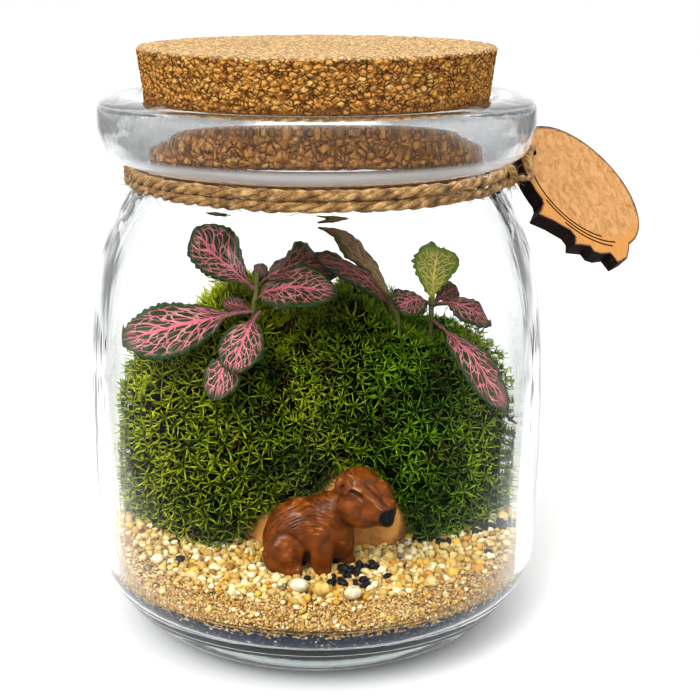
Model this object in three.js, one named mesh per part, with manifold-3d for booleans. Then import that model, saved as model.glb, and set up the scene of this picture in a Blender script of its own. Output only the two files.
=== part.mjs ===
// Glass plant terrarium: a corked glass jar with sand and gravel, a bank of moss, three small
// fittonia sprigs, a boulder, loose pebbles and a resting capybara figurine. A wooden tag hangs
// from the jute twine round the neck. Millimetres, +Z up. The origin is the middle of the jar's
// flat base, and the front of the planting faces -Y.

import * as THREE from 'three';
import { mergeVertices } from 'three/addons/utils/BufferGeometryUtils.js';
import Module from 'manifold-3d';

const wasm = await Module();
wasm.setup();

// Driving dimensions

const GAP = 0.3;
const FACETS = 32;
const WELD = 1e-3;

const JAR = {
  radius: 50, wall: 3.5, heelWidth: 16.3, heelHeight: 18.3, heelPower: 1.25, heelSteps: 4,
  straightTop: 52, neckRadius: 38.3, neckLow: 98.4, neckHigh: 103.5, floor: 8.8, corner: 7, cornerSteps: 2,
};
const CORK = { top: 126.8, bottom: 107.6, topRadius: 37.7, bottomRadius: 35.4, edge: 0.6 };
const TWINE = { radius: 1.15, ring: 39.95, low: 99.5, high: 102.1, sides: 7, steps: 32, strand: 0.75 };
const KNOT = { angle: -15, out: 41.2, height: 100.9, size: 2.6 };
const TAG = {
  centre: [58.5, 8, 95.9], facing: [0.525, -0.467, 0.711], radius: 17, thickness: 3.2,
  hole: 1.5, holeOut: 14, holeAngle: -15, steps: 44,
};
const GRIT_TOP = 15.2;
const BED = {
  front: 16.3, rest: 17.8, slopeFrom: -28, slopeRun: 18, bankRise: 6, bankFrom: 26, bankRun: 20,
  rings: [16, 28, 36, 42],
};
const MOSS = {
  centre: [0, 14, 18], reach: 64, front: 26, back: 60, height: 52, power: 2.5, toGlass: 1.9,
  rows: 7, columns: 34, shoots: 72, spacing: 6.4, shootRadius: 3, shootLift: 1.35, needles: 5,
};
const SOIL = { inset: 5.5, rows: 4, columns: 20 };
const STONE = { centre: [2.9, -7.2, 19], radii: [18.5, 5.6, 15.5] };
const STONE_RECESS = { centre: [2.9, -10, 19], radii: [19.4, 8.5, 16.4] };
const LEAF = { thickness: 0.8, stations: 8, stalkWidth: 1.1, scallop: 0.06 };
const STEM = { radius: 0.95, sides: 6, clear: 0.4 };
const GRAVEL = { count: 48, smallest: 0.9, largest: 1.8, seed: 41 };
const SEAT = BED.rest + GAP;

// Small helpers

const vec = (values) => new THREE.Vector3(...values);
const radians = THREE.MathUtils.degToRad;
const smooth = (value) => THREE.MathUtils.smoothstep(value, 0, 1);

/** A repeatable source of numbers from 0 to 1. */
function seeded(seed) {
  let state = seed;
  return () => {
    state = (Math.imul(state, 1664525) + 1013904223) >>> 0;
    return state / 2 ** 32;
  };
}

/** Turns a closed three.js geometry into a solid, with its faces pointing out. */
function toSolid(geometry) {
  const bare = geometry.clone();
  Object.keys(bare.attributes).filter((name) => name !== 'position')
    .forEach((name) => bare.deleteAttribute(name));
  const merged = mergeVertices(bare, WELD);
  const index = merged.index.array;
  const triangles = [];
  for (let i = 0; i < index.length; i += 3) {
    const [a, b, c] = [index[i], index[i + 1], index[i + 2]];
    if (a !== b && b !== c && c !== a) triangles.push(a, b, c);
  }
  return orient(merged.attributes.position.array, triangles);
}

/** Makes a solid from bare vertices and triangles, turned outwards where it is inside out. */
function orient(positions, triangles) {
  const vertProperties = new Float32Array(positions);
  const build = (corners) => new wasm.Manifold(
    new wasm.Mesh({ numProp: 3, vertProperties, triVerts: new Uint32Array(corners) }));
  const solid = build(triangles);
  if (solid.volume() > 0) return solid;
  const turned = [];
  for (let i = 0; i < triangles.length; i += 3) {
    turned.push(triangles[i], triangles[i + 2], triangles[i + 1]);
  }
  return build(turned);
}

/** Joins solids into one. */
const join = (solids) => solids.reduce((whole, solid) => whole.add(solid));

/** The largest connected body of a solid. */
function largestBody(solid) {
  return solid.decompose().sort((a, b) => b.volume() - a.volume())[0];
}

/** A named mesh from a solid or from a closed geometry. */
function piece(name, shape, material) {
  const mesh = (shape.getMesh ? shape : toSolid(shape)).getMesh();
  const geometry = new THREE.BufferGeometry();
  geometry.setAttribute('position', new THREE.BufferAttribute(mesh.vertProperties, 3));
  geometry.setIndex(new THREE.BufferAttribute(mesh.triVerts, 1));
  geometry.computeVertexNormals();
  const result = new THREE.Mesh(geometry, material);
  result.name = name;
  return result;
}

/** Revolves a profile of [radius, height] points round the jar's axis. */
function revolve(profile) {
  const points = profile.map(([radius, height]) => new THREE.Vector2(radius, height));
  return toSolid(new THREE.LatheGeometry(points, FACETS).rotateX(Math.PI / 2));
}

/** Points of a smooth profile curve through a few [radius, height] points. */
function smoothProfile(points, steps) {
  const curve = new THREE.SplineCurve(points.map(([r, z]) => new THREE.Vector2(r, z)));
  return curve.getPoints(steps).map((point) => [point.x, point.y]);
}

/** The radius of a profile at a height, read between its points. */
function radiusAt(profile, height) {
  for (let i = 1; i < profile.length; i++) {
    const [r0, z0] = profile[i - 1];
    const [r1, z1] = profile[i];
    if (height >= Math.min(z0, z1) && height <= Math.max(z0, z1) && z0 !== z1) {
      return r0 + (r1 - r0) * (height - z0) / (z1 - z0);
    }
  }
  return profile[0][0];
}

/** An ellipsoid, turned by Euler angles in degrees. */
function ellipsoid(centre, radii, turn = [0, 0, 0], around = 10, up = 6) {
  const rotation = new THREE.Quaternion().setFromEuler(new THREE.Euler(...turn.map(radians)));
  const placed = new THREE.Matrix4().compose(vec(centre), rotation, vec(radii));
  return toSolid(new THREE.SphereGeometry(1, around, up).rotateX(Math.PI / 2).applyMatrix4(placed));
}

/** A round rod with flat ends along a smooth curve. */
function rod(points, radius, sides, steps) {
  const outline = Array.from({ length: sides }, (_, i) => {
    const angle = 2 * Math.PI * i / sides;
    return new THREE.Vector2(radius * Math.cos(angle), radius * Math.sin(angle));
  });
  const extrudePath = new THREE.CatmullRomCurve3(points.map(vec));
  return toSolid(new THREE.ExtrudeGeometry(new THREE.Shape(outline), { steps, bevelEnabled: false, extrudePath }));
}

/** A box from its lowest to its highest corner. */
function block(low, high) {
  const size = high.map((value, axis) => value - low[axis]);
  const middle = high.map((value, axis) => (value + low[axis]) / 2);
  return toSolid(new THREE.BoxGeometry(...size).translate(...middle));
}

/** Stitches rows of points that share a column count into a closed skin between two poles. */
function closedRows(rows, firstPole, lastPole) {
  const columns = rows[0].length;
  const vertices = [firstPole, ...rows.flat(), lastPole];
  const last = vertices.length - 1;
  const at = (row, column) => 1 + row * columns + (column % columns);
  const triangles = [];
  for (let column = 0; column < columns; column++) {
    triangles.push(0, at(0, column + 1), at(0, column));
    triangles.push(last, at(rows.length - 1, column), at(rows.length - 1, column + 1));
    for (let row = 0; row < rows.length - 1; row++) {
      triangles.push(at(row, column), at(row, column + 1), at(row + 1, column + 1));
      triangles.push(at(row, column), at(row + 1, column + 1), at(row + 1, column));
    }
  }
  return orient(vertices.flat(), triangles);
}

// Jar and stopper

/** The outside of the jar, from the middle of the base to the top of the mouth. */
function jarOutside() {
  const heel = Array.from({ length: JAR.heelSteps + 1 }, (_, i) => {
    const angle = Math.PI / 2 * i / JAR.heelSteps;
    return [
      JAR.radius - JAR.heelWidth * (1 - Math.sin(angle) ** JAR.heelPower),
      JAR.heelHeight * (1 - Math.cos(angle) ** JAR.heelPower),
    ];
  });
  const shoulder = smoothProfile([[JAR.radius, JAR.straightTop], [49.15, 67], [46.85, 82], [43.3, 91], [39.4, 97.5]], 6);
  const rim = smoothProfile(
    [[41.6, 103.9], [44.5, 105.75], [46.1, 110], [46.2, 113], [45.9, 114.9], [44.8, 116.1], [42.5, 116.7],
      [39.6, 116.8], [37.9, 116.4], [37.1, 115.7]], 9);
  return [[0, 0], ...heel, ...shoulder, [JAR.neckRadius, JAR.neckLow], [JAR.neckRadius, JAR.neckHigh], ...rim];
}

/** The cork's radius at a height. */
const corkRadius = (height) => THREE.MathUtils.mapLinear(
  height, CORK.bottom, CORK.top, CORK.bottomRadius, CORK.topRadius);

/** The inside of the jar, from the mouth down to the middle of the floor. */
function jarInside() {
  const seat = [115.4, CORK.bottom - 0.3].map((height) => [corkRadius(height) + GAP + 0.05, height]);
  const shoulder = smoothProfile(
    [[35.2, 99.5], [39.3, 92.6], [43.2, 84], [45.6, 72], [JAR.radius - JAR.wall, 58]], 5);
  const corner = Array.from({ length: JAR.cornerSteps + 1 }, (_, i) => {
    const angle = Math.PI / 2 * i / JAR.cornerSteps;
    return [
      JAR.radius - JAR.wall - JAR.corner * (1 - Math.cos(angle)),
      JAR.floor + JAR.corner * (1 - Math.sin(angle)),
    ];
  });
  return [...seat, ...shoulder, ...corner, [0, JAR.floor]];
}

const inside = jarInside();

/** The jar's inner radius at a height. */
const cavityRadius = (height) => radiusAt(inside, Math.max(height, JAR.floor + 0.01));

/** The glass jar, open at its mouth. */
const jar = () => revolve([...jarOutside(), ...inside]);

/** The tapered cork stopper with eased edges. */
function cork() {
  const { top, bottom, edge } = CORK;
  return revolve([
    [0, bottom], [CORK.bottomRadius - edge, bottom], [corkRadius(bottom + edge), bottom + edge],
    [corkRadius(top - edge), top - edge], [CORK.topRadius - edge, top], [0, top],
  ]);
}

// Twine and tag

/** The middle of the knot, at the right of the neck. */
function knotCentre() {
  const angle = radians(KNOT.angle);
  return [KNOT.out * Math.cos(angle), KNOT.out * Math.sin(angle), KNOT.height];
}

/** The tag's own axes: towards the jar, across, and out of its face. */
function tagAxes() {
  const out = vec(TAG.facing).normalize();
  const inward = new THREE.Vector3(-1, 0, 0).projectOnPlane(out).normalize();
  const across = new THREE.Vector3().crossVectors(out, inward);
  return { inward, across, out };
}

/** A point of the tag, from its distance and angle on the face and its height over it. */
function tagPoint(distance, degrees, height) {
  const { inward, across, out } = tagAxes();
  const angle = radians(degrees);
  const point = vec(TAG.centre).addScaledVector(inward, distance * Math.cos(angle))
    .addScaledVector(across, distance * Math.sin(angle)).addScaledVector(out, height);
  return point.toArray();
}

/** Two turns of twine round the neck, the knot, and the strand that passes through the tag. */
function twine() {
  const turns = [TWINE.low, TWINE.high].map((height) => toSolid(
    new THREE.TorusGeometry(TWINE.ring, TWINE.radius, TWINE.sides, TWINE.steps).translate(0, 0, height)));
  const [x, y, z] = knotCentre();
  const knot = ellipsoid([x, y, z], [KNOT.size * 0.85, KNOT.size * 1.1, KNOT.size * 0.9], [0, 0, KNOT.angle], 8, 6);
  const over = TWINE.strand + 0.65;
  const strand = rod([
    [x, y, z],
    tagPoint(TAG.radius + 1.6, 27, over),
    tagPoint(TAG.radius - 0.4, 10, over),
    tagPoint(TAG.holeOut + 1.1, TAG.holeAngle + 12, over),
    tagPoint(TAG.holeOut + 0.1, TAG.holeAngle + 1, 0.8),
    tagPoint(TAG.holeOut, TAG.holeAngle, -0.4 * TAG.thickness),
    tagPoint(TAG.holeOut, TAG.holeAngle, -TAG.thickness - 1.4),
  ], TWINE.strand, 6, 14);
  const stopper = ellipsoid(tagPoint(TAG.holeOut, TAG.holeAngle, -TAG.thickness - 2.1), [1.7, 1.7, 1.6], [0, 0, 0], 8, 6);
  return join([...turns, knot, strand, stopper]);
}

/** Distance and angle of the corners of the tag's jagged lower edge, in order. */
const TAG_JAGS = [
  [18, 46], [22.2, 50], [19.6, 59], [18.2, 72], [19.1, 76], [21.7, 76.5], [19.3, 88],
  [20.5, 91], [20.3, 97], [19.1, 106], [21.6, 109], [20.1, 121], [17.8, 131],
];

/** The round wooden tag with its jagged edge and hanging hole. */
function tag() {
  const polar = (distance, degrees) => new THREE.Vector2(
    distance * Math.cos(radians(degrees)), distance * Math.sin(radians(degrees)));
  const first = TAG_JAGS[0][1];
  const last = TAG_JAGS[TAG_JAGS.length - 1][1];
  const arc = [];
  for (let i = 1; i < TAG.steps; i++) arc.push(polar(TAG.radius, last + (360 - last + first) * i / TAG.steps));
  const shape = new THREE.Shape([...TAG_JAGS.map(([distance, degrees]) => polar(distance, degrees)), ...arc]);
  const hole = polar(TAG.holeOut, TAG.holeAngle);
  const rim = Array.from({ length: 12 }, (_, i) => polar(TAG.hole, 30 * i).add(hole));
  shape.holes.push(new THREE.Path(rim));
  const { inward, across, out } = tagAxes();
  const placed = new THREE.Matrix4().makeBasis(inward, across, out).setPosition(vec(tagPoint(0, 0, -TAG.thickness)));
  return toSolid(new THREE.ExtrudeGeometry(shape, { depth: TAG.thickness, bevelEnabled: false }).applyMatrix4(placed));
}

// Ground

/** The height of the sand and gravel. It dips to the front glass and banks up at the sides. */
function bedTop(x, y) {
  const dip = (BED.rest - BED.front) * smooth((BED.slopeFrom - y) / BED.slopeRun);
  const bank = BED.bankRise * smooth((Math.abs(x) - BED.bankFrom) / BED.bankRun) * smooth((y + 42) / 30);
  return BED.rest - dip + bank;
}

/** The dark grit that fills the bottom of the jar. */
function gritLayer() {
  const heights = [JAR.floor + GAP, 10.4, 12.4, GRIT_TOP];
  const side = heights.map((height) => [cavityRadius(height - GAP) - 0.4, height]);
  return revolve([[0, heights[0]], ...side, [0, GRIT_TOP]]);
}

/** The sand and gravel bed's body, with its top raised by a small amount for a mould. */
function bedBody(raise = 0) {
  const wall = JAR.radius - JAR.wall - 0.4;
  const circle = (radius, height) => Array.from({ length: FACETS }, (_, i) => {
    const angle = 2 * Math.PI * i / FACETS;
    const [x, y] = [radius * Math.sin(angle), radius * Math.cos(angle)];
    return [x, y, height(x, y)];
  });
  const foot = raise ? JAR.floor : GRIT_TOP + GAP;
  const outer = circle(wall + raise, (x, y) => bedTop(x, y) + raise);
  const rings = [...BED.rings].reverse().map((radius) => circle(radius, (x, y) => bedTop(x, y) + raise));
  return closedRows([circle(wall + raise, () => foot), outer, ...rings], [0, 0, foot], [0, 0, bedTop(0, 0) + raise]);
}

/** Whether a point lies in an ellipsoid that is grown by a margin. */
function inEllipsoid([x, y, z], { centre, radii }, margin = 0) {
  return ((x - centre[0]) / (radii[0] + margin)) ** 2 + ((y - centre[1]) / (radii[1] + margin)) ** 2
    + ((z - centre[2]) / (radii[2] + margin)) ** 2 < 1;
}

/** A rough little stone of the given half sizes. */
function pebble(centre, radii, turn) {
  const rotation = new THREE.Quaternion().setFromEuler(new THREE.Euler(...turn));
  const placed = new THREE.Matrix4().compose(vec(centre), rotation, vec(radii));
  return toSolid(new THREE.IcosahedronGeometry(1, 0).applyMatrix4(placed));
}

/** The sand and gravel bed with its coarser stones standing out of it. */
function gravelBed() {
  const random = seeded(GRAVEL.seed);
  const placed = [];
  const stones = [bedBody()];
  for (let tries = 0; placed.length < GRAVEL.count && tries < 6000; tries++) {
    const angle = 2 * Math.PI * random();
    const reach = 43.2 * Math.sqrt(random());
    const [x, y] = [reach * Math.cos(angle), reach * Math.sin(angle)];
    const size = THREE.MathUtils.lerp(GRAVEL.smallest, GRAVEL.largest, random() ** 1.6);
    const height = bedTop(x, y) + size * 0.1;
    const bare = y < 4 && !inMoss([x, y, height + 1], 2.2) && !inEllipsoid([x, y, 19], STONE, 2.2)
      && !FIGURE_FOOTPRINTS.some((print) => inEllipsoid([x, y, 0], print, size + 0.6))
      && !LOOSE_PEBBLES.some(({ at, radii }) => Math.hypot(x - at[0], y - at[1]) < radii[0] + size + 0.5);
    if (!bare || placed.some(([px, py, ps]) => Math.hypot(px - x, py - y) < 0.8 * (ps + size))) continue;
    placed.push([x, y, size]);
    stones.push(pebble([x, y, height], [size, size * 0.85, size * 0.72], [0.5 * random(), 0.5 * random(), 6 * random()]));
  }
  return largestBody(join(stones));
}

const LOOSE_PEBBLES = [
  { name: 'pebble_left', at: [-3.6, -32.8], radii: [2.2, 1.7, 1.5], turn: -12 },
  { name: 'pebble_middle', at: [1, -34.3], radii: [1.8, 1.6, 1.6], turn: 20 },
  { name: 'pebble_right', at: [7.3, -35.5], radii: [1.8, 1.7, 1.5], turn: 5 },
];

/** One of the larger loose pebbles in front of the figurine. */
function loosePebble({ at: [x, y], radii, turn }) {
  return ellipsoid([x, y, bedTop(x, y) + 0.35 + radii[2]], radii, [0, 0, turn], 9, 5);
}

/** The boulder behind the figurine, flat where it stands on the gravel. */
function boulder(grow = 0) {
  const shape = new THREE.IcosahedronGeometry(1, 2);
  const position = shape.attributes.position;
  for (let i = 0; i < position.count; i++) {
    const point = new THREE.Vector3().fromBufferAttribute(position, i);
    const swell = 1 + 0.035 * Math.sin(4 * point.x + 1) * Math.cos(3 * point.z) - 0.03 * Math.sin(5 * point.y + 2 * point.x);
    position.setXYZ(i, ...point.multiplyScalar(swell).toArray());
  }
  shape.scale(...STONE.radii.map((radius) => radius + grow)).translate(...STONE.centre);
  return toSolid(shape).subtract(block([-40, -40, 0], [40, 40, SEAT]));
}

// Moss

/** The gentle mounds of the moss: a factor on its size in one direction. */
function mossMounds(x, y, z) {
  const around = Math.atan2(y - MOSS.centre[1], x);
  return 1 + 0.022 * Math.sin(5 * around + 0.06 * z) + 0.02 * Math.sin(9 * around - 0.13 * z + 1)
    + 0.018 * Math.sin(0.22 * x + 0.17 * z + 2);
}

/** Whether a point lies in the moss bank, which is drawn in by an inset. */
function inMoss([x, y, z], grown = 0) {
  const [cx, cy, cz] = MOSS.centre;
  const depth = y < cy ? MOSS.front : MOSS.back;
  const mounds = mossMounds(x, y, z);
  const shape = (Math.abs(x - cx) / (MOSS.reach * mounds + grown)) ** MOSS.power
    + (Math.abs(y - cy) / (depth * mounds + grown)) ** MOSS.power
    + (Math.max(z - cz, 0) / (MOSS.height * mounds + grown)) ** MOSS.power;
  return shape < 1 && Math.hypot(x, y) < cavityRadius(z) - MOSS.toGlass + Math.min(grown, 0)
    && !inEllipsoid([x, y, z], STONE_RECESS, -grown);
}

/** The point where a ray from the middle of the bank leaves it. */
function mossSurface(around, rise, grown) {
  const direction = [Math.cos(rise) * Math.cos(around), Math.cos(rise) * Math.sin(around), Math.sin(rise)];
  const along = (length) => MOSS.centre.map((value, axis) => value + length * direction[axis]);
  let length = 4;
  while (inMoss(along(length + 0.5), grown)) length += 0.5;
  let step = 0.25;
  for (let i = 0; i < 8; i++, step /= 2) if (inMoss(along(length + step), grown)) length += step;
  return along(length);
}

/** A smooth bank: the moss without its shoots, or the soil inside it. */
function bank(rows, columns, grown) {
  const rings = Array.from({ length: rows }, (_, row) => Array.from({ length: columns },
    (_, column) => mossSurface(2 * Math.PI * column / columns, Math.PI / 2 * row / rows, grown)));
  return closedRows(rings, [...MOSS.centre], mossSurface(0, Math.PI / 2, grown));
}

/** One leafy shoot end: a star of needles with raised tips and a sunken root. */
function shoot(at, normal, size, lift, turn) {
  const up = normal.clone().normalize();
  const side = new THREE.Vector3(0.3, 0.2, 1).projectOnPlane(up).normalize();
  const other = new THREE.Vector3().crossVectors(up, side);
  const rim = Array.from({ length: 2 * MOSS.needles }, (_, i) => {
    const angle = turn + Math.PI * i / MOSS.needles;
    const needle = i % 2 === 0;
    const reach = needle ? size : size * 0.3;
    return at.clone().addScaledVector(side, reach * Math.cos(angle)).addScaledVector(other, reach * Math.sin(angle))
      .addScaledVector(up, needle ? lift : lift * 0.4).toArray();
  });
  return closedRows([rim], at.clone().addScaledVector(up, -1.8).toArray(),
    at.clone().addScaledVector(up, lift * 0.75).toArray());
}

/** The moss bank with its shoots, over the soil and round the stems and the boulder. */
function moss() {
  const random = seeded(7);
  const solids = [bank(MOSS.rows, MOSS.columns, 0)];
  const centres = [];
  for (let tries = 0; centres.length < MOSS.shoots && tries < 9000; tries++) {
    const around = 2 * Math.PI * random();
    const rise = Math.asin(random());
    const turn = Math.PI * random();
    const at = vec(mossSurface(around, rise, 0));
    if (at.z < bedTop(at.x, at.y) + 2.5 || centres.some((other) => other.distanceTo(at) < MOSS.spacing)) continue;
    if (KEEP_CLEAR.some((point) => point.distanceTo(at) < MOSS.shootRadius + 2.2)) continue;
    const east = vec(mossSurface(around + 0.03, rise, 0)).sub(at);
    const north = vec(mossSurface(around, Math.min(rise + 0.03, 1.57), 0)).sub(at);
    const normal = east.cross(north);
    if (normal.length() < 1e-6) continue;
    centres.push(at);
    const byGlass = Math.hypot(at.x, at.y) > cavityRadius(at.z) - MOSS.toGlass - 0.6;
    solids.push(shoot(at, normal, MOSS.shootRadius, byGlass ? 0.9 : MOSS.shootLift, turn));
  }
  const cavity = revolve([[0, JAR.floor], ...[16, 24, 40, 58, 64, 70, 76].map((z) => [cavityRadius(z) - 0.4, z]), [0, 76]]);
  const leafMoulds = SPRIGS.flatMap(({ leaves }) => leaves.map((shape) => leaf(shape, STEM.clear + 0.2)));
  const cuts = [bedBody(GAP), soilBody(0.6), boulder(0.45), ...SPRIGS.map(sprigHole), ...leafMoulds];
  return largestBody(cuts.reduce((rest, cut) => rest.subtract(cut), join(solids).intersect(cavity)));
}

/** The mound of soil that the moss grows on, before its planting holes. */
const soilBody = (grow) => bank(SOIL.rows, SOIL.columns, grow - SOIL.inset);

/** The mound of soil on the gravel, with a plain hole for each stem. */
function soil() {
  const cuts = [bedBody(GAP), ...SPRIGS.map(sprigHole)];
  return largestBody(cuts.reduce((rest, cut) => rest.subtract(cut), soilBody(0)));
}

// Fittonia

/** Each sprig's stem, from its root in the soil to its top, and its leaves from stem to tip. */
const SPRIGS = [
  {
    name: 'fittonia_left',
    stem: [[-14.9, 1, 56], [-14.5, 1, 65.6], [-13.5, 0.4, 72], [-13, 0, 77.4]],
    leaves: [
      { base: [-13.4, 0.4, 72.8], tip: [-27.1, 2, 84.9], width: 10.5, stalk: 0.14, face: [-0.2, -0.9, 0.4], arch: 0.02, cup: 0.08 },
      { base: [-13.9, 0.8, 69], tip: [-42.3, -9, 64.3], width: 14.5, stalk: 0.2, face: [-0.1, -0.72, 0.7], arch: 0.06, cup: 0.12 },
      { base: [-14, 0.8, 68.4], tip: [-15, -12.4, 58.3], width: 11.5, stalk: 0.25, face: [0, -0.6, 0.7], arch: 0.2, cup: 0.16 },
      { base: [-14.4, 0.8, 66.8], tip: [-21.9, -12.2, 52.6], width: 8.4, stalk: 0.5, face: [-0.2, -0.8, 0.5], arch: 0.12, cup: 0.1 },
      { base: [-13.9, 1, 68.9], tip: [-26, 4.2, 71.6], width: 6.4, stalk: 0.3, face: [0, -0.6, 0.8], arch: 0.04, cup: 0.1 },
      { base: [-13.7, 0.5, 70.6], tip: [4.3, -8, 72.6], width: 9.4, stalk: 0.1, face: [0.1, -0.62, 0.78], arch: 0.05, cup: -0.1 },
      { base: [-13.3, 0.2, 74.6], tip: [3.2, 3.6, 79], width: 9, stalk: 0.12, face: [0, -0.42, 0.9], arch: 0.12, cup: 0.1 },
      { base: [-13.2, 0.2, 74], tip: [-11.9, 1.2, 81], width: 4.4, stalk: 0.25, face: [-0.3, -0.9, 0.2], arch: -0.05, cup: -0.1 },
    ],
  },
  {
    name: 'fittonia_middle',
    stem: [[19.4, 5, 56], [18.6, 5, 63], [18, 5, 67.6], [16.6, 5.1, 71.4]],
    leaves: [
      { base: [17.4, 5, 69.8], tip: [-0.2, 0.6, 83.4], width: 9, stalk: 0.12, face: [0.3, -0.55, 0.75], arch: 0.1, cup: 0.14 },
      { base: [16.8, 5.2, 70.8], tip: [0.6, 12.4, 85], width: 8.4, stalk: 0.1, face: [0.72, 0.05, 0.7], arch: 0.07, cup: 0.1 },
    ],
  },
  {
    name: 'fittonia_right',
    stem: [[25.6, 4, 56], [25.6, 4, 63], [25.6, 4, 67], [25.5, 4, 70.8]],
    leaves: [
      { base: [25.6, 4, 68.4], tip: [26.2, 6, 83], width: 9.8, stalk: 0.14, face: [0, -0.95, 0.2], arch: -0.03, cup: -0.06 },
      { base: [25.6, 4, 66.6], tip: [41.4, -12, 49.6], width: 11, stalk: 0.24, face: [0.3, -0.66, 0.6], arch: 0.1, cup: 0.12 },
      { base: [25.6, 4, 69.2], tip: [38.8, 1, 65.2], width: 7.6, stalk: 0.22, face: [0.2, -0.5, 0.82], arch: 0.2, cup: 0.14 },
      { base: [25.6, 4, 69.2], tip: [17.6, -4.2, 69], width: 7, stalk: 0.22, face: [-0.2, -0.7, 0.68], arch: 0.12, cup: 0.1 },
      { base: [25.6, 4.2, 69.2], tip: [32.6, 9, 73], width: 6, stalk: 0.3, face: [-0.1, -0.7, 0.7], arch: 0.1, cup: 0.1 },
    ],
  },
];

/** Half a leaf's width as a share of its widest, along its length. It is widest past the middle. */
const leafOutline = (along) => Math.sin(Math.PI * THREE.MathUtils.clamp(along, 0, 1) ** 1.1) ** 0.62;

/** A point of a leaf, from 0 to 1 along it, -1 to 1 across it, and a depth under its face. */
function leafPoint({ base, tip, width, stalk, face, arch, cup }, along, across, depth, wave = 1, grow = 0) {
  const start = vec(base);
  const run = vec(tip).sub(start);
  const length = run.length();
  const normal = vec(face).projectOnPlane(run).normalize();
  const side = new THREE.Vector3().crossVectors(run, normal).normalize();
  const blade = leafOutline((along - stalk) / (1 - stalk));
  const half = Math.max(LEAF.stalkWidth / 2, 0.5 * width * blade * wave) + grow;
  const rise = 4 * arch * length * along * (1 - along) - cup * half * across ** 2 * 2 - depth;
  return start.addScaledVector(run, along).addScaledVector(side, across * half).addScaledVector(normal, rise);
}

/** One cupped, arched blade with a scalloped edge, split alike on both faces, or its mould if it is grown. */
function leaf(shape, grow = 0) {
  const { stations, thickness, scallop } = LEAF;
  const offsets = [-1, -0.5, 0, 0.5, 1];
  const overrun = 1 + 4 * grow / vec(shape.tip).distanceTo(vec(shape.base));
  const rows = Array.from({ length: stations + 1 }, (_, i) => {
    const along = 0.5 + (i / stations - 0.5) * overrun;
    const wave = 1 + (i % 2 ? scallop : -scallop);
    const upper = offsets.map((across) => leafPoint(shape, along, across, -grow, wave, grow).toArray());
    const lower = offsets.map((across) => leafPoint(shape, along, across, thickness + grow, wave, grow).toArray());
    return [...upper, ...lower.reverse()];
  });
  const vertices = rows.flat();
  const columns = 10;
  const at = (row, column) => row * columns + (column % columns);
  const triangles = [];
  const quad = (a, b, c, d) => triangles.push(a, b, c, a, c, d);
  for (let row = 0; row < stations; row++) {
    for (let column = 0; column < 5; column++) {
      quad(at(row, column), at(row, column + 1), at(row + 1, column + 1), at(row + 1, column));
    }
    for (let column = 5; column < columns; column++) {
      quad(at(row, column + 1), at(row + 1, column + 1), at(row + 1, column), at(row, column));
    }
  }
  for (let column = 0; column < 4; column++) {
    const [near, far] = [column, columns - 1 - column];
    quad(at(0, near + 1), at(0, near), at(0, far), at(0, far - 1));
    quad(at(stations, near), at(stations, near + 1), at(stations, far - 1), at(stations, far));
  }
  return orient(vertices.flat(), triangles);
}

/** A sprig's stem and leaves, grown together. */
function sprig({ stem, leaves }) {
  return largestBody(join([rod(stem, STEM.radius, STEM.sides, 9), ...leaves.map((shape) => leaf(shape))]));
}

/** The plain hole that a sprig's stem stands in. */
function sprigHole({ stem: [root, ...rest] }) {
  const foot = vec(root).add(vec(root).sub(vec(rest[0])).setLength(STEM.clear)).toArray();
  return rod([foot, ...rest], STEM.radius + STEM.clear, 8, 9);
}

/** Points along every stem and leaf, which the moss shoots stay clear of. */
const KEEP_CLEAR = SPRIGS.flatMap(({ leaves }) => leaves.flatMap((shape) => {
  const points = [];
  for (let i = 0; i <= 8; i++) for (const across of [-0.9, 0, 0.9]) points.push(leafPoint(shape, i / 8, across, 0.4));
  return points;
}));

// Figurine

/** The figurine's lumps, each with its centre, half sizes and turn. It faces +X, its head a little to the front. */
const FIGURE = [
  { centre: [-2.6, -20, 25.8], radii: [8.6, 6, 7.6], turn: [0, -8, 0] },
  { centre: [-5.4, -20.2, 24], radii: [6.3, 5.9, 7] },
  { centre: [3.4, -20, 27], radii: [5.6, 5.2, 6.6] },
  { centre: [-6, -24, 22.2], radii: [5, 3, 5] },
  { centre: [-5.6, -16.6, 22.2], radii: [4.8, 2.8, 4.8] },
  { centre: [6.6, -20.6, 31.2], radii: [4.6, 4.4, 5.2], turn: [0, 25, 0] },
  { centre: [9.4, -21.2, 34.8], radii: [5.4, 4.5, 5.4] },
  { centre: [12.8, -22.2, 31.6], radii: [4.4, 3.8, 5], turn: [0, 20, -14] },
  { centre: [15.3, -23.2, 29.7], radii: [1.9, 2.1, 2.1] },
  { centre: [1.7, -23.7, 23.4], radii: [2.8, 2.3, 5.8], turn: [6, 0, 0] },
  { centre: [2.4, -25, 18.9], radii: [2.4, 1.7, 1.3] },
  { centre: [6.3, -17.8, 22.6], radii: [2.3, 2.1, 5.4] },
  { centre: [7, -18, 18.9], radii: [2.2, 1.6, 1.3] },
  { centre: [-3.4, -25.2, 18.9], radii: [3, 1.6, 1.3] },
  { centre: [5.9, -24.3, 38], radii: [1.2, 0.9, 1.4] },
  { centre: [7.4, -17.7, 38.7], radii: [1.2, 0.9, 1.4] },
];
const FIGURE_FOOTPRINTS = FIGURE.slice(0, 14).map(({ centre: [x, y], radii: [a, b] }) => (
  { centre: [x, y, 0], radii: [a, b, 1] }));

/** The resting capybara figurine, flat where it sits on the gravel. */
function figurine() {
  const lumps = FIGURE.map(({ centre, radii, turn }) => ellipsoid(centre, radii, turn, 8, 6));
  return largestBody(join(lumps).subtract(block([-60, -60, 0], [60, 60, SEAT])));
}

// Finishes

/** A plain standard material. */
const finish = (color, roughness, extra = {}) => new THREE.MeshStandardMaterial({ color, roughness, metalness: 0, ...extra });

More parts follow.
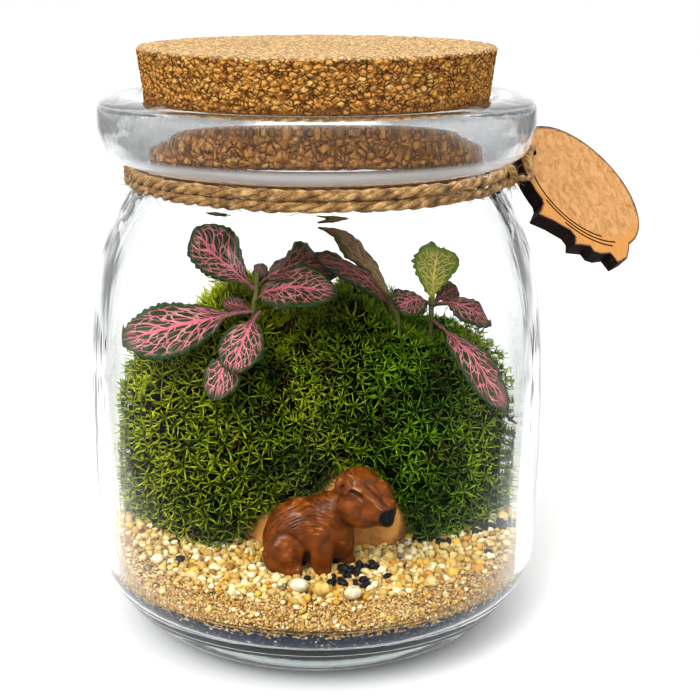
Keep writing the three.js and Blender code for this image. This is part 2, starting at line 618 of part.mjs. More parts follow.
const GLASS = finish('#dfeaea', 0.05, { transparent: true, opacity: 0.35 });
const CORKWOOD = finish('#c08a4c', 0.85);
const JUTE = finish('#b08a56', 0.9);
const TAG_WOOD = finish('#cf9a5a', 0.7);
const GRIT = finish('#2a2c30', 0.9);
const SAND = finish('#d8b67c', 0.9);
const EARTH = finish('#2b2119', 0.95);
const MOSS_GREEN = finish('#6f8f1f', 0.8);
const LEAF_GREEN = finish('#4c4a2e', 0.5);
const BOULDER_TAN = finish('#b08850', 0.7);
const FIGURE_BROWN = finish('#8a4316', 0.35);
const PEBBLE_COLOURS = ['#efe6d2', '#e8c25a', '#f0ebe0'];

// Terrarium

const terrarium = new THREE.Group();
terrarium.name = 'glass_plant_terrarium';
terrarium.add(
  piece('glass_jar', jar(), GLASS),
  piece('cork_stopper', cork(), CORKWOOD),
  piece('jute_twine', twine(), JUTE),
  piece('wood_tag', tag(), TAG_WOOD),
  piece('grit_layer', gritLayer(), GRIT),
  piece('gravel_bed', gravelBed(), SAND),
  piece('soil_mound', soil(), EARTH),
  piece('moss_bank', moss(), MOSS_GREEN),
  piece('boulder', boulder(), BOULDER_TAN),
  piece('capybara_figurine', figurine(), FIGURE_BROWN),
  ...LOOSE_PEBBLES.map((shape, i) => piece(shape.name, loosePebble(shape), finish(PEBBLE_COLOURS[i], 0.6))),
  ...SPRIGS.map((shape) => piece(shape.name, sprig(shape), LEAF_GREEN)),
);

export default terrarium;
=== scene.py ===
"""Dresses the glass plant terrarium: a corked jar that holds moss, fittonia, gravel and a resting capybara.

The classes keep their sizes in millimetres, and MM brings them to the metres of the scene.
"""
import logging
import math
import random
from dataclasses import dataclass
from enum import Enum
from typing import Callable, Sequence

import bmesh
import bpy
import numpy as np
from mathutils import Euler, Matrix, Vector, noise


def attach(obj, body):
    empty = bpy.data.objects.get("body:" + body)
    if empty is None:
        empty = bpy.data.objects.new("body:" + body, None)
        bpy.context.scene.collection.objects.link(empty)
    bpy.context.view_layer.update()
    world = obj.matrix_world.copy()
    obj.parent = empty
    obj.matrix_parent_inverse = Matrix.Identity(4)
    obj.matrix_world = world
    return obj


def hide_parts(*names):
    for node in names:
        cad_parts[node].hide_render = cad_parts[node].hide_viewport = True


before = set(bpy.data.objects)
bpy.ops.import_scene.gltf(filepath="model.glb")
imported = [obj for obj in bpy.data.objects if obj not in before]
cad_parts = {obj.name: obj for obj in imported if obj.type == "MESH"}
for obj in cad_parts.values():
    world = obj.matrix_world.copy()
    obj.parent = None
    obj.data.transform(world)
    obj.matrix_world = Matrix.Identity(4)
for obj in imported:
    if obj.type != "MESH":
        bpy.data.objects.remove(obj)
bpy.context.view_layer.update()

MM = 0.001
FULL_TURN = 2 * math.pi
LOG = logging.getLogger("terrarium")

Point = Sequence[float]
Colour = tuple[float, float, float]
Band = tuple[float, float]
Place = tuple[float, float, float]
Piece = bpy.types.Object
Socket = bpy.types.NodeSocket


# Small sums
def smooth_step(value: float | np.ndarray) -> float | np.ndarray:
    """Eases from 0 to 1 as value goes from 0 to 1."""
    held = np.clip(value, 0.0, 1.0)
    return held * held * (3 - 2 * held)


def ease(value: float) -> float:
    """Eases one number, as smooth_step does."""
    return float(smooth_step(value))


def bell(away: float, width: float, power: int = 2) -> float:
    """Gives 1 where away is 0, and falls off past width on both sides, more squarely with a higher power."""
    return math.exp(-(away / width) ** power)


def polar(distance: float, angle: float) -> tuple[float, float]:
    """Gives x and y at a distance from the middle, the angle in radians."""
    return distance * math.cos(angle), distance * math.sin(angle)


def flow(points: Sequence[Point], steps: int) -> list[tuple[float, ...]]:
    """Runs a smooth curve through points.

    Args:
        points: what the curve passes through, in order.
        steps: how many pieces each span is cut into.

    Returns:
        The points on the curve, both ends among them.
    """
    knots = [np.array(p, float) for p in points]
    ends = [2 * knots[0] - knots[1], *knots, 2 * knots[-1] - knots[-2]]
    curve = []
    for before, start, end, after in zip(ends, ends[1:], ends[2:], ends[3:]):
        for k in range(steps):
            t = k / steps
            curve.append(tuple(0.5 * (
                2 * start + (end - before) * t + (2 * before - 5 * start + 4 * end - after) * t * t
                + (3 * start - before - 3 * end + after) * t ** 3)))
    return [*curve, tuple(knots[-1])]


def turned(axis: Point, roll: float) -> Matrix:
    """Gives the turn that stands a piece's own Z along axis, rolled about it."""
    return Vector(axis).to_track_quat("Z", "Y").to_matrix() @ Matrix.Rotation(roll, 3, "Z")


# The bench: operators used as by hand
def deselect() -> None:
    """Leaves nothing selected."""
    bpy.ops.object.select_all(action="DESELECT")


def pick(piece: Piece) -> Piece:
    """Makes piece the only selected object and the active one."""
    deselect()
    piece.select_set(True)
    bpy.context.view_layer.objects.active = piece
    return piece


def smooth(piece: Piece) -> Piece:
    """Shades a piece smoothly."""
    pick(piece)
    bpy.ops.object.shade_smooth()
    return piece


def face_outwards() -> None:
    """Turns every face of the piece in edit mode outwards."""
    bpy.ops.mesh.select_all(action="SELECT")
    bpy.ops.mesh.normals_make_consistent(inside=False)


class Editing:
    """Edit mode on one piece, left again at the end of the block."""

    def __init__(self, piece: Piece, mode: str = "VERT") -> None:
        """Keeps the piece and the kind of element to select."""
        self.piece = piece
        self.mode = mode

    def __enter__(self) -> "Editing":
        """Enters edit mode."""
        pick(self.piece)
        bpy.ops.object.mode_set(mode="EDIT")
        bpy.ops.mesh.select_mode(type=self.mode)
        return self

    def __exit__(self, *problem: object) -> None:
        """Goes back to object mode."""
        bpy.ops.object.mode_set(mode="OBJECT")

    def select_faces(self, wanted: Callable[[bmesh.types.BMFace], bool]) -> None:
        """Selects the faces that wanted says yes to, and nothing else."""
        bpy.ops.mesh.select_all(action="DESELECT")
        mesh = bmesh.from_edit_mesh(self.piece.data)
        for face in mesh.faces:
            face.select_set(wanted(face))
        mesh.select_flush_mode()
        bmesh.update_edit_mesh(self.piece.data)


def apply_modifier(piece: Piece, kind: str, **settings: object) -> None:
    """Adds one modifier to piece, sets it and applies it."""
    pick(piece)
    bpy.ops.object.modifier_add(type=kind)
    modifier = piece.modifiers[-1]
    for name, value in settings.items():
        setattr(modifier, name, value)
    bpy.ops.object.modifier_apply(modifier=modifier.name)


def apply_place(piece: Piece) -> Piece:
    """Puts the piece's place, turn and scale into its mesh."""
    pick(piece)
    bpy.ops.object.transform_apply(location=True, rotation=True, scale=True)
    return piece


def cut_out(piece: Piece, cutter: Piece) -> None:
    """Takes the cutter's shape out of piece, and removes the cutter."""
    apply_place(cutter)
    apply_modifier(piece, "BOOLEAN", operation="DIFFERENCE", object=cutter, solver="EXACT")
    bpy.data.objects.remove(cutter)


def join_pieces(name: str, pieces: Sequence[Piece]) -> Piece:
    """Joins pieces into one object of that name."""
    for piece in pieces:
        apply_place(piece)
    deselect()
    for piece in pieces:
        piece.select_set(True)
    bpy.context.view_layer.objects.active = pieces[0]
    if len(pieces) > 1:
        bpy.ops.object.join()
    pieces[0].name = pieces[0].data.name = name
    return pieces[0]


def lathe(name: str, profile: Sequence[tuple[float, float]], steps: int) -> Piece:
    """Turns a profile round the Z axis.

    Args:
        name: the new object's name.
        profile: (radius, height) pairs in millimetres.
        steps: how many flats make the full turn.

    Returns:
        The turned piece, its seam and poles merged and its faces outwards.
    """
    deselect()
    bpy.ops.mesh.primitive_plane_add(size=MM)
    piece = bpy.context.object
    piece.name = piece.data.name = name
    with Editing(piece):
        bpy.ops.mesh.select_all(action="SELECT")
        bpy.ops.mesh.merge(type="CENTER")
        bpy.ops.transform.translate(value=(profile[0][0] * MM, 0, profile[0][1] * MM))
        for (r0, z0), (r1, z1) in zip(profile, profile[1:]):
            bpy.ops.mesh.extrude_vertices_move(
                TRANSFORM_OT_translate={"value": ((r1 - r0) * MM, 0, (z1 - z0) * MM)})
        bpy.ops.mesh.select_all(action="SELECT")
        bpy.ops.mesh.spin(steps=steps, angle=FULL_TURN, center=(0, 0, 0), axis=(0, 0, 1))
        bpy.ops.mesh.select_all(action="SELECT")
        bpy.ops.mesh.remove_doubles(threshold=0.002 * MM)
        face_outwards()
    return smooth(piece)


def ball(centre: Point, radii: Point, turn: Point = (0, 0, 0), detail: int = 3) -> Piece:
    """Adds an ellipsoid. Its centre and radii are in millimetres, its turn in degrees."""
    deselect()
    bpy.ops.mesh.primitive_ico_sphere_add(
        subdivisions=detail, radius=MM, location=[v * MM for v in centre],
        rotation=[math.radians(v) for v in turn])
    piece = bpy.context.object
    piece.scale = radii
    return apply_place(piece)


def cords(name: str, runs: Sequence[Sequence[Point]], radius: float, sides: int,
          taper: Sequence[float] | None = None) -> Piece:
    """Makes round cords along runs of points.

    Args:
        name: the new object's name.
        runs: the points of each cord, in millimetres.
        radius: the cords' radius in millimetres.
        sides: how many flats each cord has.
        taper: a share of the radius for each point, or None for an even cord.

    Returns:
        The cords as one mesh, which has a UV map along and around them.
    """
    sketch = bpy.data.curves.new(name, "CURVE")
    sketch.dimensions = "3D"
    sketch.bevel_depth = radius * MM
    sketch.bevel_resolution = max(0, sides // 2 - 2)
    sketch.use_fill_caps = True
    for run in runs:
        spline = sketch.splines.new("POLY")
        spline.points.add(len(run) - 1)
        spline.points.foreach_set("co", [v for p in run for v in (p[0] * MM, p[1] * MM, p[2] * MM, 1)])
        if taper:
            spline.points.foreach_set("radius", taper)
    piece = bpy.data.objects.new(name, sketch)
    bpy.context.scene.collection.objects.link(piece)
    pick(piece)
    bpy.ops.object.convert(target="MESH")
    return smooth(bpy.context.object)


def mesh_points(piece: Piece, what: str = "co") -> np.ndarray:
    """Reads each point's place in metres, or with "normal" the way that the piece faces there."""
    values = np.empty(len(piece.data.vertices) * 3)
    piece.data.vertices.foreach_get(what, values)
    return values.reshape(-1, 3)


def set_points(piece: Piece, points: np.ndarray) -> None:
    """Moves a piece's points, given in metres."""
    piece.data.vertices.foreach_set("co", points.astype(np.float32).ravel())
    piece.data.update()


def note(piece: Piece, name: str, values: np.ndarray) -> None:
    """Keeps one number a point on the piece, for its finish to read."""
    marks = piece.data.attributes.new(name, "FLOAT", "POINT")
    marks.data.foreach_set("value", np.asarray(values, np.float32))


def lay_copies(name: str, pattern: Piece, places: Sequence[Matrix], tones: Sequence[float],
               along: np.ndarray | None = None) -> Piece:
    """Copies one small piece to many places, each copy with its own mesh, all in one object.

    Args:
        name: the new object's name.
        pattern: the piece to copy, which is removed afterwards.
        places: where each copy stands, in metres.
        tones: a number for each copy, kept at its points as "tone".
        along: a number for each of the pattern's points, kept as "along".

    Returns:
        The copies as one object.
    """
    source = pattern.data
    points = mesh_points(pattern)
    count = len(points)
    corners = np.empty(len(source.loops), np.int32)
    source.loops.foreach_get("vertex_index", corners)
    starts = np.empty(len(source.polygons), np.int32)
    source.polygons.foreach_get("loop_start", starts)
    moves = np.array([[*row] for place in places for row in place]).reshape(-1, 4, 4)
    laid = np.einsum("nij,kj->nki", moves[:, :3, :3], points) + moves[:, None, :3, 3]
    order = np.arange(len(places))[:, None]
    mesh = bpy.data.meshes.new(name)
    mesh.vertices.add(count * len(places))
    mesh.loops.add(len(corners) * len(places))
    mesh.polygons.add(len(starts) * len(places))
    mesh.vertices.foreach_set("co", laid.ravel())
    mesh.loops.foreach_set("vertex_index", (corners + order * count).ravel().astype(np.int32))
    mesh.polygons.foreach_set("loop_start", (starts + order * len(corners)).ravel().astype(np.int32))
    mesh.update(calc_edges=True)
    mesh.validate()
    bpy.data.objects.remove(pattern)
    piece = bpy.data.objects.new(name, mesh)
    bpy.context.scene.collection.objects.link(piece)
    note(piece, "tone", np.repeat(np.asarray(tones, float), count))
    if along is not None:
        note(piece, "along", np.tile(along, len(places)))
    return piece


def deliver(piece: Piece, finish: bpy.types.Material | None, slot: str, *nodes: str) -> Piece:
    """Puts a finished piece on the part.

    Args:
        piece: the finished piece.
        finish: its material, or None where it already has its materials.
        slot: the record's material slot.
        nodes: the CAD nodes that it stands for.

    Returns:
        The same piece.
    """
    apply_place(piece)
    if finish:
        piece.data.materials.clear()
        piece.data.materials.append(finish)
    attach(piece, "root")
    if nodes:
        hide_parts(*nodes)
    piece.data.calc_loop_triangles()
    LOG.info("%s: %d triangles, finish %s", piece.name, len(piece.data.loop_triangles), slot)
    return piece


# Finishes
class Palette:
    """The node tree of a material or of the world, drawn one node at a time."""

    def __init__(self, name: str, world: bpy.types.World | None = None) -> None:
        """Starts an empty material of that name, or an empty tree on the world."""
        self.owner = world or bpy.data.materials.new(name)
        self.owner.use_nodes = True
        self.tree = self.owner.node_tree
        self.tree.nodes.clear()

    def put(self, kind: str, inputs: dict[str | int, object] | None = None,
            **options: object) -> bpy.types.Node:
        """Adds a node, sets its options, and links or sets its inputs."""
        made = self.tree.nodes.new("ShaderNode" + kind)
        for name, value in options.items():
            setattr(made, name, value)
        for name, value in (inputs or {}).items():
            if isinstance(value, Socket):
                self.tree.links.new(value, made.inputs[name])
            else:
                made.inputs[name].default_value = value
        return made

    def place(self, scale: Point = (1, 1, 1)) -> Socket:
        """Gives the piece's own coordinates, stretched."""
        coordinates = self.put("TexCoord").outputs["Object"]
        return self.put("Mapping", {"Vector": coordinates, "Scale": scale}).outputs[0]

    def mark(self, name: str) -> Socket:
        """Gives a number that was noted on the piece."""
        return self.put("Attribute", attribute_name=name).outputs["Fac"]

    def noise(self, where: Socket, scale: float, detail: float = 3, rough: float = 0.55,
              warp: float = 0) -> Socket:
        """Gives soft noise from 0 to 1."""
        return self.put("TexNoise", {"Vector": where, "Scale": scale, "Detail": detail, "Roughness": rough,
                                     "Distortion": warp}).outputs["Fac"]

    def cells(self, where: Socket, scale: float, feature: str = "F1", output: str = "Distance") -> Socket:
        """Gives a pattern of cells: distance, colour or distance to their edges."""
        return self.put("TexVoronoi", {"Vector": where, "Scale": scale}, feature=feature).outputs[output]

    def parts(self, value: Socket, kind: str = "XYZ") -> Sequence[Socket]:
        """Takes a vector, or with "Color" a colour, apart into its three numbers."""
        return self.put("Separate" + kind, {0: value}).outputs

    def sum(self, operation: str, first: object, second: object = 0.5, clamp: bool = False) -> Socket:
        """Does one sum on two numbers."""
        return self.put("Math", {0: first, 1: second}, operation=operation, use_clamp=clamp).outputs[0]

    def times(self, first: object, second: object) -> Socket:
        """Multiplies two numbers."""
        return self.sum("MULTIPLY", first, second)

    def grade(self, value: Socket, low: float, high: float, start: float = 0, end: float = 1) -> Socket:
        """Takes value from the range low to high to the range start to end, and holds it there."""
        return self.put("MapRange", {"Value": value, "From Min": low, "From Max": high,
                                     "To Min": start, "To Max": end}).outputs[0]

    def ramp(self, value: Socket, stops: Sequence[tuple[float, Colour]], steps: bool = False) -> Socket:
        """Turns a number into a colour, by soft or hard stops."""
        made = self.put("ValToRGB", {"Fac": value})
        made.color_ramp.interpolation = "CONSTANT" if steps else "LINEAR"
        elements = made.color_ramp.elements
        while len(elements) < len(stops):
            elements.new(0.5)
        for element, (at, colour) in zip(elements, stops):
            element.position = at
            element.color = (*colour, 1)
        return made.outputs["Color"]

    def blend(self, share: object, first: object, second: object, mode: str = "MIX") -> Socket:
        """Mixes two colours."""
        inputs = {at: (*value, 1) if isinstance(value, tuple) else value
                  for at, value in ((0, share), (6, first), (7, second))}
        return self.put("Mix", inputs, data_type="RGBA", blend_type=mode).outputs[2]

    def bend(self, where: Socket, by: Socket, scale: float, detail: float, reach: float,
             middle: float = 0) -> Socket:
        """Shifts places by coloured noise.

        Args:
            where: the places.
            by: the coordinates at which the noise is read.
            scale: the noise's scale.
            detail: the noise's detail.
            reach: how far a place is shifted by a full step of noise.
            middle: the noise that shifts nothing.

        Returns:
            The shifted places.
        """
        tangle = self.put("TexNoise", {"Vector": by, "Scale": scale, "Detail": detail}).outputs["Color"]
        shift = self.put("VectorMath", {0: tangle, 1: (middle,) * 3}, operation="SUBTRACT").outputs[0]
        shift = self.put("VectorMath", {0: shift, "Scale": reach}, operation="SCALE").outputs[0]
        return self.put("VectorMath", {0: where, 1: shift}, operation="ADD").outputs[0]

    def bump(self, height: Socket, strength: float, depth: float, after: Socket | None = None) -> Socket:
        """Turns heights into relief, depth in millimetres."""
        inputs = {"Height": height, "Strength": strength, "Distance": depth * MM}
        if after:
            inputs["Normal"] = after
        return self.put("Bump", inputs).outputs[0]

    def surface(self, colour: Socket, rough: float, relief: Socket | None = None, gloss: float = 0.5,
                more: dict[str, float] | None = None) -> bpy.types.Material:
        """Ends the tree with one shader.

        Args:
            colour: the base colour.
            rough: the roughness.
            relief: the bumped direction of the surface, or None where it's plain.
            gloss: the strength of the plain reflection.
            more: the shader's other inputs.

        Returns:
            The material.
        """
        inputs = {"Base Color": colour, "Roughness": rough, "Specular IOR Level": gloss, **(more or {})}
        if relief:
            inputs["Normal"] = relief
        self.put("OutputMaterial", {"Surface": self.put("BsdfPrincipled", inputs).outputs[0]})
        return self.owner


@dataclass(frozen=True)
class ClearGlass:
    """Pressed clear glass, with the slow waves that a mould leaves, greyed by painted shade in the base, rim
    and lip. Its bands are in metres.
    """

    tint: Colour = (0.975, 0.985, 0.985)
    rim_painted_shade: Colour = (0.90, 0.92, 0.93)
    lip_painted_shade: Colour = (0.62, 0.65, 0.67)
    base_painted_shade: Colour = (0.31, 0.355, 0.355)
    rim_shade_and_frost_band: Band = (0.1035, 0.1065)
    lip_shade_band: Band = (0.1158, 0.1164)
    base_shade_band: Band = (0.007, 0.0115)
    heel_band: Band = (0.006, 0.020)
    side_band: Band = (0.026, 0.036)
    haze_foot: Band = (0.1036, 0.1043)
    haze_top: Band = (0.1062, 0.1074)
    haze: float = 0.5
    index: float = 1.5
    gloss: float = 0.05
    wave: float = 0.35
    lamp_light: float = 0.95
    heel_light: float = 0.45

    def make(self) -> bpy.types.Material:
        """Draws the material. Lamps reach what the glass holds."""
        palette = Palette("clear_glass")
        waves = palette.noise(palette.place((1, 1, 0.16)), 130, 2, 0.5, 0.4)
        ripples = palette.noise(palette.place((1, 1, 0.3)), 420, 1)
        relief = palette.bump(ripples, 0.05, self.wave, palette.bump(waves, 0.22, self.wave))
        smudge = palette.grade(palette.noise(palette.place(), 90, 4), 0.45, 0.75, 0.0, 0.012)
        aside, _, level = palette.parts(palette.place())
        rim = palette.grade(level, *self.rim_shade_and_frost_band)
        base = palette.grade(level, *self.base_shade_band, 1, 0)
        # Painted shade: the base, rim and lip are greyed to stand in for the dark reflections that the thick
        # glass shows.
        tint = palette.blend(base, palette.blend(rim, self.tint, self.rim_painted_shade), self.base_painted_shade)
        tint = palette.blend(palette.grade(level, *self.lip_shade_band), tint, self.lip_painted_shade)
        ends = palette.grade(palette.sum("ABSOLUTE", aside), *self.side_band, 0.10, 1)
        frost = palette.noise(palette.place((1, 1, 0.6)), 520, 5, 0.75)
        cloudy = palette.times(palette.times(rim, ends), palette.grade(frost, 0.36, 0.64, 0.03, 0.20))
        under = palette.times(palette.grade(level, *self.haze_foot, 0, self.haze),
                              palette.grade(level, *self.haze_top, 1, 0))
        clear = palette.sum("SUBTRACT", 1.0, palette.sum("MAXIMUM", cloudy, under))
        glass = palette.put("BsdfPrincipled", {
            "Base Color": tint, "Roughness": smudge, "IOR": self.index, "Normal": relief,
            "Specular Tint": (*[self.gloss] * 3, 1), "Transmission Weight": clear}).outputs[0]
        heavy = palette.grade(level, *self.heel_band, 1, 0)
        passed = palette.blend(heavy, (*[self.lamp_light] * 3,), (*[self.heel_light] * 3,))
        open_way = palette.put("BsdfTransparent", {"Color": passed}).outputs[0]
        lamps = palette.put("LightPath").outputs["Is Shadow Ray"]
        both = palette.put("MixShader", {0: lamps, 1: glass, 2: open_way}).outputs[0]
        palette.put("OutputMaterial", {"Surface": both})
        return palette.owner


@dataclass(frozen=True)
class PressedCork:
    """Cork chips pressed together, with dark bark and hollows in the joints; each chip is painted lighter on
    its crown and shaded round its edge, and painted shade darkens the part in the neck.
    """

    bark: Colour = (0.115, 0.034, 0.007)
    shade: Colour = (0.52, 0.178, 0.029)
    body: Colour = (0.93, 0.39, 0.072)
    light: Colour = (1.0, 0.63, 0.20)
    top: Colour = (0.93, 0.68, 0.38)
    neck_shade: Colour = (0.30, 0.125, 0.040)
    chips: float = 760.0
    stray: float = 0.0016
    top_band: Band = (0.1260, 0.1266)
    neck_shade_band: Band = (0.1165, 0.1185)

    def make(self) -> bpy.types.Material:
        """Draws the material."""
        palette = Palette("pressed_cork")
        bent = palette.bend(palette.place((1, 1, 1.25)), palette.place(), 620, 3, self.stray)
        chip = palette.put("TexVoronoi", {"Vector": bent, "Scale": self.chips})
        tone = palette.parts(chip.outputs["Color"], "Color")[0]
        dome = palette.grade(chip.outputs["Distance"], 0.10, 0.66, 1, 0)
        colour = palette.ramp(tone, [(0.0, self.shade), (0.25, self.body), (0.7, self.body),
                                     (0.95, self.light)])
        # Painted highlight on each chip's crown, and painted shade round its edge.
        colour = palette.blend(palette.grade(dome, 0.58, 0.92, 0, 0.60), colour, self.light)
        colour = palette.blend(palette.grade(dome, 0.02, 0.42, 0.92, 0), colour, self.shade)
        grain = palette.noise(palette.place(), 1700, 4, 0.7)
        colour = palette.blend(palette.grade(grain, 0.42, 0.68, 0, 0.7), colour, self.light)
        joint = palette.cells(bent, self.chips, "DISTANCE_TO_EDGE")
        patchy = palette.grade(palette.noise(palette.place(), 520, 3), 0.36, 0.58, 0.0, 1.0)
        gap = palette.times(palette.grade(joint, 0.0, 0.13, 1.0, 0), patchy)
        pits = palette.grade(palette.noise(palette.place(), 760, 3, 0.6, 0.7), 0.59, 0.66)
        dark = palette.sum("MAXIMUM", gap, palette.times(pits, 0.85))
        colour = palette.blend(dark, colour, self.bark)
        level = palette.parts(palette.place())[2]
        colour = palette.blend(palette.grade(level, *self.top_band, 0, 0.62), colour, self.top)
        # Painted shade on the part of the cork inside the glass neck.
        colour = palette.blend(palette.grade(level, *self.neck_shade_band, 0.60, 0), colour, self.neck_shade)
        height = palette.sum("SUBTRACT", palette.sum("ADD", dome, palette.times(grain, 0.8)), dark)
        return palette.surface(colour, 0.85, palette.bump(height, 1.0, 0.7), 0.25)


@dataclass(frozen=True)
class JuteFibre:
    """Twisted jute, its fine fibres along the strand."""

    dark: Colour = (0.060, 0.024, 0.005)
    body: Colour = (0.35, 0.190, 0.060)
    light: Colour = (0.76, 0.51, 0.22)

    def make(self) -> bpy.types.Material:
        """Draws the material."""
        palette = Palette("jute_fibre")
        own = palette.put("Mapping", {"Vector": palette.put("UVMap", uv_map="UVMap").outputs[0],
                                      "Scale": (150, 16, 1)}).outputs[0]
        threads = palette.sum("ADD", palette.times(palette.noise(own, 1.0, 4, 0.7), 0.6),
                              palette.times(palette.noise(palette.place(), 2600, 3, 0.7), 0.4))
        slow = palette.noise(palette.place(), 420, 3)
        colour = palette.ramp(palette.sum("ADD", palette.times(threads, 0.6), palette.times(slow, 0.4)), [
            (0.39, self.dark), (0.5, self.body), (0.62, self.light)])
        return palette.surface(colour, 0.86, palette.bump(threads, 0.8, 0.18), more={"Sheen Weight": 0.25})


@dataclass(frozen=True)
class LaserWood:
    """Pale veneer cut by a laser: mottled grain and a burnt rim."""

    pale: Colour = (0.64, 0.345, 0.130)
    body: Colour = (0.54, 0.265, 0.082)
    knot: Colour = (0.40, 0.172, 0.045)
    strip: Colour = (0.62, 0.265, 0.045)
    burnt: Colour = (0.075, 0.025, 0.008)
    strip_ring: Band = (0.0146, 0.0149)
    burnt_ring: Band = (0.0159, 0.0165)

    def make(self, centre: Point, turn: Euler) -> bpy.types.Material:
        """Draws the face's material, centred on the tag.

        Args:
            centre: the tag's centre in metres.
            turn: the tag's turn.

        Returns:
            The material.
        """
        palette = Palette("laser_wood")
        own = palette.put("Mapping", {"Vector": palette.put("TexCoord").outputs["Object"], "Location": centre,
                                      "Rotation": turn}, vector_type="TEXTURE").outputs[0]
        stretched = palette.put("Mapping", {"Vector": own, "Scale": (1.0, 0.6, 1.0)}).outputs[0]
        mottle = palette.noise(stretched, 560, 6, 0.7, 0.8)
        colour = palette.ramp(mottle, [(0.35, self.knot), (0.47, self.body), (0.60, self.pale)])
        long_grain = palette.put("Mapping", {"Vector": own, "Scale": (1, 0.12, 1)}).outputs[0]
        line = palette.noise(long_grain, 2400, 2)
        colour = palette.blend(palette.grade(line, 0.56, 0.8, 0, 0.28), colour, self.knot)
        inward, across, _ = palette.parts(own)
        flat = palette.put("CombineXYZ", {0: inward, 1: across}).outputs[0]
        out = palette.put("VectorMath", {0: flat}, operation="LENGTH").outputs["Value"]
        strip = palette.times(palette.grade(out, *self.strip_ring, 0, 0.7),
                              palette.grade(across, 0.001, 0.005))
        colour = palette.blend(strip, colour, self.strip)
        patchy = palette.grade(palette.noise(own, 900, 3), 0.35, 0.6, 0.6, 1)
        wander = palette.grade(palette.noise(own, 1100, 2), 0.3, 0.7, -0.0003, 0.0003)
        arc = palette.times(palette.grade(palette.sum("ADD", out, wander), *self.burnt_ring),
                            palette.grade(across, -0.001, 0.002, 1, 0))
        edge = palette.sum("MAXIMUM", palette.grade(palette.mark("edge"), 0.05, 0.6), arc)
        colour = palette.blend(palette.times(edge, patchy), colour, self.burnt)
        return palette.surface(colour, 0.62, palette.bump(line, 0.25, 0.12))


@dataclass(frozen=True)
class Char:
    """Wood burnt black by the laser."""

    black: Colour = (0.006, 0.005, 0.005)
    brown: Colour = (0.040, 0.016, 0.008)

    def make(self) -> bpy.types.Material:
        """Draws the material."""
        palette = Palette("charred_wood")
        streaks = palette.noise(palette.place(), 900, 4, 0.7)
        colour = palette.ramp(streaks, [(0.46, self.black), (0.72, self.brown)])
        return palette.surface(colour, 0.7, palette.bump(streaks, 0.5, 0.2), 0.2)


GRAIN_COLOURS: list[tuple[float, Colour]] = [
    (0.00, (0.68, 0.56, 0.25)), (0.20, (0.58, 0.41, 0.14)), (0.34, (0.50, 0.34, 0.09)),
    (0.46, (0.74, 0.58, 0.22)), (0.62, (0.62, 0.32, 0.040)), (0.67, (0.70, 0.47, 0.08)),
    (0.78, (0.36, 0.20, 0.05)), (0.81, (0.82, 0.77, 0.52)), (0.962, (0.20, 0.18, 0.13)),
    (0.975, (0.006, 0.007, 0.010))]
SAND_COLOURS: list[tuple[float, Colour]] = [
    (0.00, (0.62, 0.44, 0.19)), (0.22, (0.52, 0.33, 0.115)), (0.40, (0.70, 0.53, 0.25)),
    (0.58, (0.46, 0.26, 0.07)), (0.70, (0.74, 0.62, 0.36)), (0.84, (0.64, 0.37, 0.07)),
    (0.95, (0.20, 0.12, 0.045))]


@dataclass(frozen=True)
class GrainMix:
    """A mix of cream, tan, amber and black grains, with painted shade in the gaps between the sand body's
    grains.
    """

    name: str
    cell: float
    from_mark: bool
    relief: float = 0.25
    colours: tuple[tuple[float, Colour], ...] = tuple(GRAIN_COLOURS)
    warm: Colour = (0.62, 0.42, 0.19)
    seam: Colour = (0.075, 0.036, 0.012)

    def make(self) -> bpy.types.Material:
        """Draws the material, coloured by cell or by the number noted on each grain."""
        palette = Palette(self.name)
        where = palette.place()
        pattern = palette.put("TexVoronoi", {"Vector": where, "Scale": 1 / (self.cell * MM)})
        tone = palette.mark("tone") if self.from_mark else palette.parts(pattern.outputs["Color"], "Color")[0]
        colour = palette.ramp(tone, self.colours, steps=True)
        cloud = palette.grade(palette.noise(where, 900, 3), 0.35, 0.75, 0.06, 0.66)
        colour = palette.blend(cloud, colour, self.warm, "MULTIPLY")
        height = palette.noise(where, 2600, 2)
        if not self.from_mark:
            height = palette.sum("SUBTRACT", height, palette.times(pattern.outputs["Distance"], 1.6))
            # Painted shade darkens the gaps between the sand body's grains.
            seam = palette.cells(where, 1 / (self.cell * MM), "DISTANCE_TO_EDGE")
            colour = palette.blend(palette.grade(seam, 0.0, 0.16, 0.92, 0), colour, self.seam)
        return palette.surface(colour, 0.55, palette.bump(height, 0.6, self.relief), 0.25)


@dataclass(frozen=True)
class DarkGrit:
    """Dark crushed stone with pale specks, and the sand that has sunk into its top."""

    cell: float = 0.50
    sand_band: Band = (0.0150, 0.0151)
    wander: float = 0.0015
    colours: tuple[tuple[float, Colour], ...] = (
        (0.0, (0.002, 0.006, 0.024)), (0.45, (0.006, 0.017, 0.062)), (0.80, (0.022, 0.040, 0.105)),
        (0.92, (0.20, 0.17, 0.12)), (0.97, (0.60, 0.58, 0.50)))

    def make(self) -> bpy.types.Material:
        """Draws the material."""
        palette = Palette("dark_grit")
        where = palette.place()
        pattern = palette.put("TexVoronoi", {"Vector": where, "Scale": 1 / (self.cell * MM)})
        tone, chance, _ = palette.parts(pattern.outputs["Color"], "Color")
        wander = palette.grade(chance, 0, 1, -self.wander, self.wander)
        level = palette.sum("ADD", palette.parts(where)[2], wander)
        colour = palette.blend(palette.grade(level, *self.sand_band),
                               palette.ramp(tone, self.colours, steps=True),
                               palette.ramp(tone, SAND_COLOURS, steps=True))
        height = palette.sum("SUBTRACT", palette.noise(where, 2200, 2), pattern.outputs["Distance"])
        return palette.surface(colour, 0.5, palette.bump(height, 0.7, 0.4))


